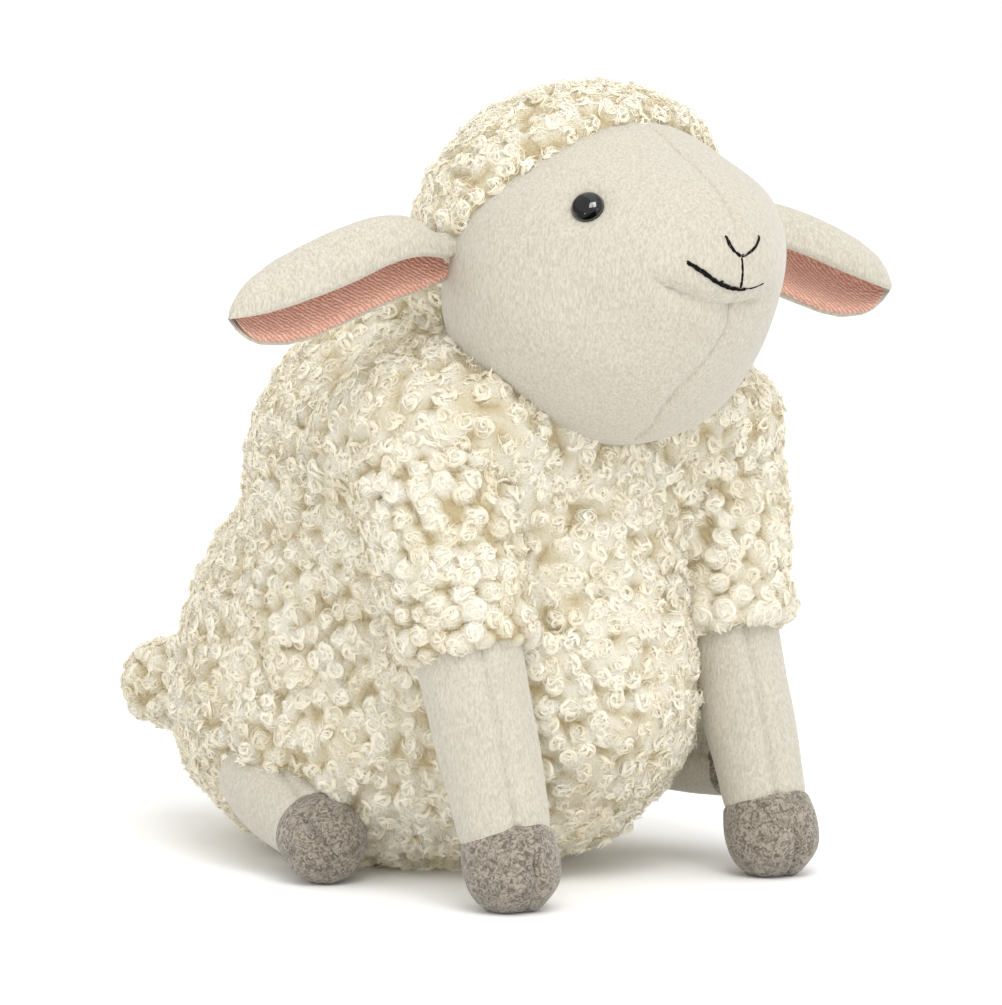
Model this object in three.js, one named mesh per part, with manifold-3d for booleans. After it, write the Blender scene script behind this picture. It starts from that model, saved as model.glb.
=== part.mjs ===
// A sitting plush sheep: a fleece body with sewn-on head, ears, legs and tail, each stuffed on its own.
// Millimetres, +Z up. The sheep faces -Y and its left side is +X. The origin is the middle of the seat.
import * as THREE from "three";
import { mergeVertices } from "three/addons/utils/BufferGeometryUtils.js";
import Module from "manifold-3d";

const wasm = await Module();
wasm.setup();

// Fabrics and seams
const seamGap = 0.3;
const cutOverrun = 6;
const fleeceThickness = 12;
const velourThickness = 1.6;

// Body: a wide haunch, a seat that spreads on the floor, a chest over the front legs and a nape
const haunchWidth = 146;
const haunchLength = 180;
const haunchHeight = 130;
const haunchMiddle = 60;
const haunchSetback = 4;
const seatWidth = 136;
const seatLength = 165;
const seatHeight = 80;
const seatMiddle = 35;
const seatSetback = 4;
const chestWidth = 136;
const chestDepth = 160;
const chestHeight = 126;
const chestMiddle = 112;
const chestForward = 24;
const napeWidth = 122;
const napeDepth = 122;
const napeHeight = 92;
const napeMiddle = 141;
const napeForward = 22;
const shoulderWidth = 60;
const shoulderDepth = 72;
const shoulderTall = 44;
const shoulderMiddle = 140;
const shoulderOut = 48;
const shoulderAhead = 64;
const bellyWidth = 96;
const bellyDepth = 112;
const bellyHeight = 100;
const bellyMiddle = 62;
const bellyForward = 52;
const bodyBlend = 22;

// Seat pouch of pellets, on the inside of the seat
const pouchWidth = 76;
const pouchLength = 92;
const pouchHeight = 22;

// Head: an almost round ball with a low muzzle, over a round seat that turns in the neck
const headForward = 92;
const headMiddle = 183;
const skullWidth = 108;
const skullDepth = 100;
const skullHeight = 95;
const muzzleWidth = 62;
const muzzleDepth = 56;
const muzzleHeight = 50;
const muzzleForward = 29;
const muzzleRise = 9;
const headBlend = 12;
const headSeatRadius = 49.3;
const headFillHole = 36;
const collarClearance = 2.2;
const headTurn = 20;
const headNodUp = 5;

// Neck: a plug of stuffing between body and head, a little behind the head's middle
const neckWidth = 26;
const neckSetback = 14;
const neckRoot = 108;
const neckRim = 1.5;

// Fleece cap on the back and top of the head
const capWidth = 112;
const capDepth = 112;
const capHeight = 110;
const capSetback = 12;
const capRise = 6;
const capLean = 36;
const capSpread = 68.5;
const capNapeDrop = 15;

// Eyes: glossy domes on a shank, held inside by a washer
const eyeWidth = 10;
const eyeDome = 3.4;
const eyeSink = 1;
const eyeSide = 35;
const eyeForwardRight = 29;
const eyeForwardLeft = 19;
const eyeRise = 24;
const shankWidth = 3;
const shankLength = 6;
const washerWidth = 11;
const washerThickness = 1.2;
const washerDepth = 3;

// Stitched nose and mouth
const threadWidth = 1.8;
const noseHalfWidth = 6.3;
const noseTop = 15;
const noseJoin = 9;
const mouthRise = -0.5;
const mouthRight = 17;
const mouthRightRise = 7.5;
const mouthLeft = 10;
const mouthLeftRise = 2.5;

// Ears: a leaf folded lengthwise, with a lining inside the fold
const earLength = 82;
const earHeight = 28.8;
const earSide = 50;
const earSetback = 17;
const earRise = 10;
const earDroop = 12;
const earSheet = 2.2;
const earLiningSheet = 1.8;
const earRootWidth = 21;
const earStart = 5;
const earArch = 4;
const earRaise = 30;
const earLower = 20;

// Front legs: a fleece sleeve over a velour leg that ends in a hoof
const shoulderSide = 52;
const shoulderForward = 70;
const shoulderHeight = 124;
const frontHoofSide = 51.5;
const frontHoofForward = 111;
const sleeveWidth = 54;
const cuffWidth = 46;
const sleeveLength = 53;
const sleeveLap = 22;
const frontLegWidth = 32;
const frontAnkleWidth = 27;
const frontHoofWidth = 29;
const frontHoofLength = 23;
const frontLegForwardSwing = 45;
const frontLegBackSwing = 0;

// Hind legs: short velour legs that lie forward from the haunch
const hindLegLength = 54;
const hindRootWidth = 31;
const hindLegWidth = 29;
const hindAnkleWidth = 25;
const hindHoofWidth = 26;
const hindHoofLength = 21;
const rightHindSide = 57;
const rightHindForward = -6;
const rightHindHeight = 27;
const rightHindSplay = 11;
const leftHindSide = 63;
const leftHindForward = 36;
const leftHindHeight = 34;
const leftHindSplay = 12;
const leftHindDip = 6;
const hindFill = 12;
const hindLegSplayOut = 35;
const hindLegSplayIn = 0;

// Tail: a fleece tuft
const tailRootSide = 4;
const tailRootSetback = 84;
const tailRootHeight = 47;
const tailLength = 55;
const tailWidth = 35;
const tailRootWidth = 26;
const tailFleece = 9;
const tailSide = 20;
const tailDroop = 6;
const tailFill = 5;
const tailWag = 25;

// How deep a form is pressed flat where it stands on the floor
const floorPress = 0.5;

// Facets round a form, from the largest to a thread
const bodySides = 24;
const headSides = 24;
const roomSides = 18;
const limbSides = 14;
const threadSides = 3;
const rootSteps = 4;
const earSteps = 8;
const foldSteps = 7;
const cuffSteps = 3;
const pouchSteps = 6;
const stackShare = 0.6;

// Shares of the ear's height at even steps from root to tip, and of its section from front edge to back edge
const earHeightShares = [0.76, 0.88, 0.98, 1.0, 1.02, 0.98, 0.86, 0.6, 0.2];
const earFoldForwardShares = [0.3, 0.3, 0.06, -0.2, -0.26, -0.06];
const earFoldUpShares = [-0.02, 0.22, 0.47, 0.3, -0.06, -0.5];

// Shares of a hoof's length and radius down its rounded end
const hoofLengthShares = [0, 0.3, 0.6, 0.82, 0.95, 1];
const hoofRadiusShares = [0.93, 1, 0.95, 0.74, 0.42, 0];

// How much of its full width a leg's bore has at its domed top
const boreTopShare = 0.7;

// Shares of the tail's length and radius from its root to its tip
const tailLengthShares = [0.12, 0.3, 0.52, 0.74, 0.9, 1];
const tailRadiusShares = [0.74, 0.94, 1, 0.86, 0.52, 0];

const fleece = new THREE.MeshStandardMaterial({ color: "#efe7d3", roughness: 0.95, metalness: 0 });
const velour = new THREE.MeshStandardMaterial({ color: "#d9d2c4", roughness: 0.9, metalness: 0 });
const pinkLining = new THREE.MeshStandardMaterial({ color: "#d8a791", roughness: 0.9, metalness: 0 });
const hoofFabric = new THREE.MeshStandardMaterial({ color: "#978a7a", roughness: 0.9, metalness: 0 });
const fibre = new THREE.MeshStandardMaterial({ color: "#f4f3ef", roughness: 1, metalness: 0 });
const glossBlack = new THREE.MeshStandardMaterial({ color: "#0b0a0a", roughness: 0.08, metalness: 0 });
const clearWasher = new THREE.MeshStandardMaterial({ color: "#e9e9e6", roughness: 0.4, metalness: 0 });
const thread = new THREE.MeshStandardMaterial({ color: "#1b1817", roughness: 0.8, metalness: 0 });
const pouchCloth = new THREE.MeshStandardMaterial({ color: "#e4dfd3", roughness: 0.9, metalness: 0 });

// Solids and meshes

function solidOf(geometry) {
  const bare = geometry.clone();
  bare.deleteAttribute("normal");
  bare.deleteAttribute("uv");
  const welded = mergeVertices(bare);
  const corners = welded.index.array;
  const kept = [];
  for (let i = 0; i < corners.length; i += 3) {
    const [a, b, c] = [corners[i], corners[i + 1], corners[i + 2]];
    if (a !== b && b !== c && c !== a) kept.push(a, b, c);
  }
  return new wasm.Manifold(new wasm.Mesh({
    numProp: 3,
    vertProperties: welded.attributes.position.array,
    triVerts: new Uint32Array(kept),
  }));
}

function geometryOf(solid) {
  const data = solid.getMesh();
  const geometry = new THREE.BufferGeometry();
  geometry.setAttribute("position", new THREE.BufferAttribute(data.vertProperties, 3));
  geometry.setIndex(new THREE.BufferAttribute(data.triVerts, 1));
  geometry.computeVertexNormals();
  return geometry;
}

function addPiece(group, name, solid, material) {
  const piece = new THREE.Mesh(geometryOf(solid), material);
  piece.name = name;
  group.add(piece);
}

function inWorld(solid, group) {
  group.updateWorldMatrix(true, false);
  return solid.transform(group.matrixWorld.elements);
}

function fromWorld(solid, group) {
  group.updateWorldMatrix(true, false);
  return solid.transform(group.matrixWorld.clone().invert().elements);
}

function joined(solids) {
  return solids.reduce((whole, next) => whole.add(next));
}

// A solid turned about the Z axis from a profile of [radius, height] pairs
function turned(profile, sides) {
  const points = profile.map(([radius, height]) => new THREE.Vector2(radius, height));
  const geometry = new THREE.LatheGeometry(points, sides);
  geometry.rotateX(Math.PI / 2);
  return outward(solidOf(geometry), geometry);
}

function outward(solid, geometry) {
  if (solid.volume() > 0) return solid;
  const flipped = geometry.index.array.slice().reverse();
  geometry.setIndex(new THREE.BufferAttribute(flipped, 1));
  return solidOf(geometry);
}

function ball(radius, sides) {
  return solidOf(new THREE.SphereGeometry(radius, sides, sides / 2));
}

// How much larger a faceted circle is drawn so that its flats touch the true circle
function roundness(sides) {
  return 1 / Math.cos(Math.PI / sides);
}

// A ball whose flats lie outside the true ball, for the room round something that turns
function roomBall(radius, sides) {
  return ball(radius * roundness(sides) ** 2, sides);
}

function block(width, depth, height) {
  return solidOf(new THREE.BoxGeometry(width, depth, height));
}

// Soft forms: lobes that run into each other, as stuffing fills a cover

function lobe(x, y, z, width, depth, height) {
  return {
    at: new THREE.Vector3(x, y, z),
    half: new THREE.Vector3(width / 2, depth / 2, height / 2),
  };
}

function depthIn(point, { at, half }) {
  const share = point.clone().sub(at).divide(half).length();
  return (share - 1) * Math.min(half.x, half.y, half.z);
}

function softMinimum(a, b, blend) {
  const share = Math.max(blend - Math.abs(a - b), 0) / blend;
  return Math.min(a, b) - share * share * blend / 4;
}

function softField(lobes, blend) {
  return (point) => lobes.map((each) => depthIn(point, each)).reduce((a, b) => softMinimum(a, b, blend));
}

// The distance from a centre to the form's surface, which lies deeper by the offset given
function surfaceDistance(field, centre, direction, reach, offset) {
  const halvings = 40;
  let inside = 0;
  let outside = reach;
  for (let step = 0; step < halvings; step++) {
    const middle = (inside + outside) / 2;
    const point = centre.clone().addScaledVector(direction, middle);
    if (field(point) < -offset) inside = middle;
    else outside = middle;
  }
  return inside;
}

function softForm(field, centre, reach, sides, offset) {
  const geometry = new THREE.SphereGeometry(1, sides, Math.round(sides * stackShare));
  geometry.rotateX(Math.PI / 2);
  const places = geometry.attributes.position;
  for (let i = 0; i < places.count; i++) {
    const direction = new THREE.Vector3().fromBufferAttribute(places, i).normalize();
    const distance = surfaceDistance(field, centre, direction, reach, offset);
    const point = direction.multiplyScalar(distance).add(centre);
    places.setXYZ(i, point.x, point.y, point.z);
  }
  return solidOf(geometry);
}

// Limbs: a group at the seam, with the limb along its own -Z and the hinge along its own X

function limbGroup(parent, name, at, along, hinge) {
  const down = along.clone().normalize();
  const across = hinge.clone().addScaledVector(down, -hinge.dot(down)).normalize();
  const up = down.clone().negate();
  const side = up.clone().cross(across);
  const group = new THREE.Group();
  group.name = name;
  group.position.copy(at);
  group.quaternion.setFromRotationMatrix(new THREE.Matrix4().makeBasis(across, side, up));
  parent.add(group);
  return group;
}

// A limb from [radius, distance] pairs, down the limb from its hinge
function limbSolid(outline, sides = limbSides) {
  return turned(outline.map(([radius, distance]) => [radius, -distance]), sides);
}

function grown(outline, by) {
  return outline.map(([radius, distance]) => [radius === 0 ? 0 : radius + by, distance + by]);
}

// The round root of a limb, from the pole behind the hinge to the limb's side
function rootArc(radius) {
  const points = [];
  for (let i = 0; i < rootSteps; i++) {
    const angle = Math.PI / 2 * i / rootSteps;
    points.push([i === 0 ? 0 : radius * Math.sin(angle), -radius * Math.cos(angle)]);
  }
  return points;
}

function sector(lowest, highest, radius, halfWidth) {
  const steps = 4;
  const step = (highest - lowest) / steps;
  const corner = radius / Math.cos(step / 2);
  const shape = new THREE.Shape();
  shape.moveTo(0, 0);
  for (let i = 0; i <= steps; i++) {
    const angle = lowest + step * i;
    shape.lineTo(corner * Math.cos(angle), corner * Math.sin(angle));
  }
  const geometry = new THREE.ExtrudeGeometry(shape, { depth: halfWidth * 2, bevelEnabled: false });
  geometry.translate(0, 0, -halfWidth);
  geometry.rotateY(Math.PI / 2);
  return solidOf(geometry);
}

// The disc that an outline covers when it goes right round its hinge
function hingeDisc(outline, rootRadius) {
  const side = outline.filter(([radius]) => radius > 0);
  const half = side.map(([radius, distance]) => new THREE.Vector2(distance, radius));
  const profile = [new THREE.Vector2(0, rootRadius), ...half];
  const mirrored = profile.slice().reverse().map((point) => new THREE.Vector2(point.x, -point.y));
  const geometry = new THREE.LatheGeometry([...profile, ...mirrored], roomSides);
  geometry.rotateZ(-Math.PI / 2);
  const round = roundness(roomSides);
  return outward(solidOf(geometry), geometry).scale([1, round, round]);
}

// The room that a limb needs as it swings about its hinge, with the seam's gap all round
function swingRoom(outline, lowest, highest) {
  const roomy = grown(outline, seamGap);
  const rootRadius = outline[0][0] + seamGap;
  const reach = roomy.at(-1)[1];
  const lowAngle = THREE.MathUtils.degToRad(lowest);
  const highAngle = THREE.MathUtils.degToRad(highest);
  const wedge = sector(lowAngle, highAngle, reach + cutOverrun, rootRadius + cutOverrun);
  const swept = hingeDisc(roomy, rootRadius).intersect(wedge);
  const round = roundness(roomSides);
  const upright = limbSolid([[0, 0], [rootRadius, 0], ...roomy, [0, reach]], roomSides);
  const straight = upright.scale([round, round, 1]);
  const ends = [lowest, 0, highest].map((angle) => straight.rotate([angle, 0, 0]));
  return joined([swept, roomBall(rootRadius, roomSides), ...ends]);
}

const floorSize = haunchLength * 3;
const floor = block(floorSize, floorSize, floorSize).translate([0, 0, -floorSize / 2]);

const sheep = new THREE.Group();
sheep.name = "plush_sheep";

const bodyField = softField([
  lobe(0, haunchSetback, haunchMiddle, haunchWidth, haunchLength, haunchHeight),
  lobe(0, seatSetback, seatMiddle, seatWidth, seatLength, seatHeight),
  lobe(0, -chestForward, chestMiddle, chestWidth, chestDepth, chestHeight),
  lobe(0, -napeForward, napeMiddle, napeWidth, napeDepth, napeHeight),
  lobe(0, -bellyForward, bellyMiddle, bellyWidth, bellyDepth, bellyHeight),
  lobe(shoulderOut, -shoulderAhead, shoulderMiddle, shoulderWidth, shoulderDepth, shoulderTall),
  lobe(-shoulderOut, -shoulderAhead, shoulderMiddle, shoulderWidth, shoulderDepth, shoulderTall),
], bodyBlend);
const bodyCentre = new THREE.Vector3(0, -chestForward / 2, (haunchMiddle + chestMiddle) / 2);

// Head: everything here is measured from the middle of the skull
const headGroup = new THREE.Group();
headGroup.name = "head_place";
headGroup.position.set(0, -headForward, headMiddle);
sheep.add(headGroup);

const headMid = new THREE.Vector3(0, 0, 0);
const faceField = softField([
  lobe(0, 0, 0, skullWidth, skullDepth, skullHeight),
  lobe(0, -muzzleForward, muzzleRise, muzzleWidth, muzzleDepth, muzzleHeight),
], headBlend);
const headSeat = lobe(0, 0, 0, headSeatRadius * 2, headSeatRadius * 2, headSeatRadius * 2);
const headField = (point) => Math.min(faceField(point), depthIn(point, headSeat));

function headForm(offset) {
  return softForm(headField, headMid, skullWidth, headSides, offset);
}

const capField = softField([lobe(0, capSetback, capRise, capWidth, capDepth, capHeight)], headBlend);

// The cap lies within a cone from the skull's middle, so its edge stands square to the face
function capCone() {
  const size = capWidth * 2;
  const spread = THREE.MathUtils.degToRad(capSpread);
  const cone = turned([[0, 0], [size * Math.sin(spread), size * Math.cos(spread)], [0, size]], bodySides);
  const nape = block(size, size, size).translate([0, 0, -capNapeDrop - size / 2]);
  return cone.rotate([capLean - 90, 0, 0]).subtract(nape);
}

// A place on the face, straight out from the skull's middle, and the way the surface faces there
function onFace(x, forward, rise) {
  const direction = new THREE.Vector3(x, -forward, rise).normalize();
  const distance = surfaceDistance(headField, headMid, direction, skullWidth, 0);
  return direction.multiplyScalar(distance);
}

function faceNormal(point) {
  const step = seamGap;
  const slopes = ["x", "y", "z"].map((axis) => {
    const ahead = point.clone();
    const behind = point.clone();
    ahead[axis] += step;
    behind[axis] -= step;
    return headField(ahead) - headField(behind);
  });
  return new THREE.Vector3(...slopes).normalize();
}

// Ears: left and right sit at the sides of the skull, at the edge of the cap
function earGroup(side, name) {
  const droop = THREE.MathUtils.degToRad(earDroop);
  const along = new THREE.Vector3(side * Math.cos(droop), 0, -Math.sin(droop));
  const at = new THREE.Vector3(side * earSide, earSetback, earRise);
  return limbGroup(headGroup, name, at, along, new THREE.Vector3(0, -side, 0));
}

function earOutline() {
  const last = earHeightShares.length - 1;
  const leafLength = earLength - earStart;
  const leaf = earHeightShares.map((heightShare, i) => {
    return [earHeight * heightShare / 2, earStart + leafLength * i / last];
  });
  return [...rootArc(earRootWidth / 2), [earRootWidth / 2, 0], ...leaf];
}

function swingRoomOf(rootRadius, outline, lowest, highest) {
  const past = outline.filter(([, distance]) => distance >= 0);
  return swingRoom([[rootRadius, 0], ...past.slice(1)], lowest, highest);
}

function inGroupOf(solid, group) {
  group.updateMatrix();
  return solid.transform(group.matrix.elements);
}

const ears = [[1, "left"], [-1, "right"]].map(([side, word]) => {
  const group = earGroup(side, `ear_${word}_place`);
  const lowest = -earLower;
  const room = swingRoomOf(earRootWidth / 2, earOutline(), lowest, earRaise);
  return { side, word, group, room: inGroupOf(room, group) };
});

const earRooms = joined(ears.map((ear) => ear.room));

function share(list, at) {
  const place = at * (list.length - 1);
  const i = Math.min(Math.floor(place), list.length - 2);
  return list[i] + (list[i + 1] - list[i]) * (place - i);
}

// The midline bows up most a quarter of the way along, where this makes the bow equal to the arch
const archGain = 4 ** 4 / 3 ** 3;

// The fold of the ear: a curve from its front edge over the crest to its back edge
const foldPoints = earFoldForwardShares.map((forward, i) => new THREE.Vector2(forward, earFoldUpShares[i]));
const foldCurve = new THREE.SplineCurve(foldPoints);

// One row of points along the fold, set in from the outside by a depth
function foldRow(side, height, depth) {
  const row = [];
  for (let i = 0; i <= foldSteps; i++) {
    const at = i / foldSteps;
    const place = foldCurve.getPoint(at);
    const way = foldCurve.getTangent(at);
    const inward = new THREE.Vector2(-way.y, way.x).multiplyScalar(depth);
    const forward = place.x * height + inward.x;
    const up = place.y * height + inward.y;
    row.push([side * forward, up]);
  }
  return row;
}

// A folded sheet from root to tip: outer and inner rows joined along both edges and closed at both ends
function foldedSheet(side, outerDepth, thickness, steps) {
  const rings = [];
  for (let i = 0; i <= steps; i++) {
    const at = i / earSteps;
    const grow = share(earHeightShares, at);
    const height = earHeight * grow;
    const outer = foldRow(side, height, outerDepth(grow));
    const inner = foldRow(side, height, outerDepth(grow) + thickness * grow);
    const down = -(earStart + (earLength - earStart) * at);
    const arch = earArch * archGain * at * (1 - at) ** 3;
    rings.push([...outer, ...inner.reverse()].map(([x, y]) => [x, y + arch, down]));
  }
  return pairedLoft(rings);
}

// A closed loft whose rings are thin loops, so each end is closed by pairing the two sides of the loop
function pairedLoft(rings) {
  const count = rings[0].length;
  const faces = [];
  for (let r = 0; r < rings.length - 1; r++) {
    for (let i = 0; i < count; i++) {
      const next = (i + 1) % count;
      const [a, b, c, d] = [r * count + i, r * count + next, (r + 1) * count + next, (r + 1) * count + i];
      faces.push(a, b, c, a, c, d);
    }
  }
  const lastStart = (rings.length - 1) * count;
  for (let i = 0; i < count / 2 - 1; i++) {
    const [a, b, c, d] = [i, i + 1, count - 2 - i, count - 1 - i];
    faces.push(a, c, b, a, d, c);
    faces.push(lastStart + a, lastStart + b, lastStart + c, lastStart + a, lastStart + c, lastStart + d);
  }
  const geometry = new THREE.BufferGeometry();
  geometry.setAttribute("position", new THREE.Float32BufferAttribute(rings.flat(2), 3));
  geometry.setIndex(faces);
  return outward(solidOf(geometry), geometry);
}

for (const { side, word, group } of ears) {
  const back = foldedSheet(side, () => 0, earSheet, earSteps);
  const root = ball(earRootWidth / 2, limbSides);
  addPiece(group, `ear_back_${word}`, back.add(root), velour);
  const liningDepth = (grow) => earSheet * grow + seamGap;
  const lining = foldedSheet(side, liningDepth, earLiningSheet, earSteps - 1);
  const liningRoom = ball(earRootWidth / 2 + seamGap, limbSides);
  addPiece(group, `ear_lining_${word}`, lining.subtract(liningRoom), pinkLining);
}

// Eyes, pushed through the velour and locked inside by a washer
function eyePlace(side, forward) {
  const at = onFace(side * eyeSide, forward, eyeRise);
  const group = new THREE.Group();
  group.position.copy(at);
  group.quaternion.setFromUnitVectors(new THREE.Vector3(0, 0, 1), faceNormal(at));
  headGroup.add(group);
  return group;
}

// An eye sits in a shallow pit, with its shank through the velour
function eyeSolid() {
  const steps = 6;
  const base = seamGap - eyeSink;
  const shank = shankWidth / 2;
  const profile = [[0, -shankLength], [shank, -shankLength], [shank, base], [eyeWidth / 2, base]];
  for (let i = 1; i < steps; i++) {
    const angle = Math.PI / 2 * i / steps;
    profile.push([eyeWidth / 2 * Math.cos(angle), base + eyeDome * Math.sin(angle)]);
  }
  profile.push([0, base + eyeDome]);
  return turned(profile, limbSides);
}

function washerSolid() {
  const inner = shankWidth / 2 + seamGap;
  const outer = washerWidth / 2;
  const top = -washerDepth;
  const bottom = top - washerThickness;
  return turned([[inner, bottom], [outer, bottom], [outer, top], [inner, top], [inner, bottom]], limbSides);
}

function post(radius, bottom, top) {
  return turned([[0, bottom], [radius, bottom], [radius, top], [0, top]], limbSides);
}

const eyeCuts = [];
for (const [side, word, forward] of [[1, "left", eyeForwardLeft], [-1, "right", eyeForwardRight]]) {
  const group = eyePlace(side, forward);
  addPiece(group, `eye_${word}`, eyeSolid(), glossBlack);
  addPiece(group, `eye_washer_${word}`, washerSolid(), clearWasher);
  const shankHole = post(shankWidth / 2 + seamGap, -shankLength - seamGap, cutOverrun);
  const pit = post(eyeWidth / 2 + seamGap, -eyeSink, cutOverrun);
  const pocket = post(washerWidth / 2 + seamGap, -(washerDepth + washerThickness + seamGap), 0);
  group.updateMatrix();
  eyeCuts.push({
    hole: shankHole.add(pit).transform(group.matrix.elements),
    pocket: pocket.add(shankHole).transform(group.matrix.elements),
  });
}

// Nose and mouth: thick thread that lies on the face
function threadAlong(places) {
  const points = places.map(([x, forward, rise]) => {
    const at = onFace(x, forward, rise);
    return at.addScaledVector(faceNormal(at), threadWidth / 2 + seamGap);
  });
  const path = new THREE.CatmullRomCurve3(points);
  const round = new THREE.Shape();
  round.absarc(0, 0, threadWidth / 2, 0, Math.PI * 2);
  const geometry = new THREE.ExtrudeGeometry(round, {
    steps: points.length * 2,
    curveSegments: threadSides,
    extrudePath: path,
    bevelEnabled: false,
  });
  return outward(solidOf(geometry), geometry);
}

function facePlaces(from, to, forward) {
  const middle = [(from[0] + to[0]) / 2, (from[1] + to[1]) / 2];
  return [from, middle, to].map(([x, rise]) => [x, forward, rise]);
}

const faceFront = skullDepth / 2;
const noseSolid = joined([
  threadAlong(facePlaces([-noseHalfWidth, noseTop], [0, noseJoin], faceFront)),
  threadAlong(facePlaces([noseHalfWidth, noseTop], [0, noseJoin], faceFront)),
  threadAlong(facePlaces([0, noseJoin + threadWidth / 2], [0, mouthRise + threadWidth * 2], faceFront)),
]);
addPiece(headGroup, "nose_stitch", noseSolid, thread);
addPiece(headGroup, "mouth_stitch", threadAlong([
  [-mouthRight, faceFront, mouthRightRise],
  [-mouthRight / 2, faceFront, (mouthRise + mouthRightRise) / 2 - threadWidth / 2],
  [0, faceFront, mouthRise],
  [mouthLeft, faceFront, mouthLeftRise],
]), thread);

// Head cover, its stuffing and the fleece cap
const fillHole = post(headFillHole / 2, -skullHeight, 0);
const eyeHoles = joined(eyeCuts.map((cut) => cut.hole));
const eyePockets = joined(eyeCuts.map((cut) => cut.pocket));
const headShell = headForm(0).subtract(headForm(velourThickness));
const headCover = headShell.subtract(fillHole).subtract(eyeHoles).subtract(earRooms);
addPiece(headGroup, "head_cover", headCover, velour);
const headStuffing = headForm(velourThickness + seamGap).subtract(eyePockets).subtract(earRooms);
addPiece(headGroup, "head_stuffing", headStuffing, fibre);
const capOutside = softForm(capField, new THREE.Vector3(0, capSetback, capRise), skullWidth, headSides, 0);
const headCap = capOutside.subtract(headForm(-seamGap)).intersect(capCone()).subtract(earRooms);
addPiece(headGroup, "head_cap", headCap, fleece);

// Front legs
const hoofOut = frontHoofSide - shoulderSide;
const hoofAhead = frontHoofForward - shoulderForward;
const frontLegReach = Math.hypot(hoofOut, hoofAhead, shoulderHeight);

function hoofOutline(ankleRadius, hoofRadius, from, length) {
  return hoofLengthShares.map((lengthShare, i) => {
    const radius = i === 0 ? ankleRadius : hoofRadius * hoofRadiusShares[i];
    return [radius, from + length * lengthShare];
  });
}

// A sheath from its outside outline, hollowed by its wall from one distance to another
function sheath(outside, inside) {
  return limbSolid(outside).subtract(limbSolid(inside));
}

function frontLegPieces(group, word) {
  const legEnd = frontLegReach + floorPress - frontHoofLength;
  const legStart = sleeveLength - sleeveLap;
  const legTop = frontLegWidth / 2;
  const ankle = frontAnkleWidth / 2;
  const boreTop = -(sleeveWidth / 2 - fleeceThickness);
  const sleeveRadius = sleeveWidth / 2;
  const cuff = cuffWidth / 2;
  const sleeveEnd = [[cuff, sleeveLength], [0, sleeveLength]];
  const sleeveOutside = [...rootArc(sleeveRadius), [sleeveRadius, 0], ...sleeveEnd];
  const bore = legTop + seamGap;
  const sleeveBore = [
    [0, boreTop],
    [bore * boreTopShare, boreTop],
    [bore, boreTop / 2],
    [bore, sleeveLength + cutOverrun],
    [0, sleeveLength + cutOverrun],
  ];
  addPiece(group, `front_sleeve_${word}`, sheath(sleeveOutside, sleeveBore), fleece);

  const legOutside = [
    [0, legStart],
    [legTop, legStart],
    [legTop, sleeveLength],
    [ankle, legEnd],
    [0, legEnd],
  ];
  const wall = velourThickness;
  const legBore = [
    [0, legStart - cutOverrun],
    [legTop - wall, legStart - cutOverrun],
    [legTop - wall, sleeveLength],
    [ankle - wall, legEnd],
    [ankle - wall, legEnd + cutOverrun],
    [0, legEnd + cutOverrun],
  ];
  addPiece(group, `front_leg_cover_${word}`, sheath(legOutside, legBore), velour);

  const hoofStart = legEnd + seamGap;
  const hoofLength = frontHoofLength - seamGap;
  const hoofOutside = hoofOutline(ankle, frontHoofWidth / 2, hoofStart, hoofLength);
  const hoofInside = hoofOutline(ankle - wall, frontHoofWidth / 2 - wall, hoofStart, hoofLength - wall);
  const hoofBore = [[0, hoofStart - cutOverrun], [ankle - wall, hoofStart - cutOverrun], ...hoofInside];
  const hoof = sheath([[0, hoofStart], ...hoofOutside], hoofBore);
  addPiece(group, `front_hoof_${word}`, hoof.subtract(fromWorld(floor, group)), hoofFabric);

  const slack = wall + seamGap;
  const fillInside = hoofOutline(ankle - slack, frontHoofWidth / 2 - slack, hoofStart, hoofLength - slack);
  const stuffing = limbSolid([
    [0, boreTop + seamGap],
    [bore * boreTopShare - seamGap, boreTop + seamGap],
    [legTop - wall - seamGap, boreTop / 2 + seamGap],
    [legTop - wall - seamGap, sleeveLength],
    ...fillInside,
  ]);
  const hoofFloor = fromWorld(floor.translate([0, 0, wall]), group);
  addPiece(group, `front_leg_stuffing_${word}`, stuffing.subtract(hoofFloor), fibre);
}

function frontLegRoom() {
  const cuffReach = Math.hypot(cuffWidth / 2, sleeveLength);
  const cuffAngle = Math.asin(cuffWidth / 2 / cuffReach);
  const legAngle = Math.asin(frontLegWidth / 2 / cuffReach);
  const outline = [[sleeveWidth / 2, 0]];
  for (let step = 0; step <= cuffSteps; step++) {
    const angle = cuffAngle + (legAngle - cuffAngle) * step / cuffSteps;
    outline.push([cuffReach * Math.sin(angle), cuffReach * Math.cos(angle)]);
  }
  outline.push([frontHoofWidth / 2, frontLegReach]);
  return swingRoom(outline, -frontLegBackSwing, frontLegForwardSwing);
}

const rooms = [];
for (const [side, word] of [[1, "left"], [-1, "right"]]) {
  const at = new THREE.Vector3(side * shoulderSide, -shoulderForward, shoulderHeight);
  const foot = new THREE.Vector3(side * frontHoofSide, -frontHoofForward, 0);
  const group = limbGroup(sheep, `front_leg_${word}_place`, at, foot.sub(at), new THREE.Vector3(-1, 0, 0));
  frontLegPieces(group, word);
  rooms.push(inWorld(frontLegRoom(), group));
}

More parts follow.
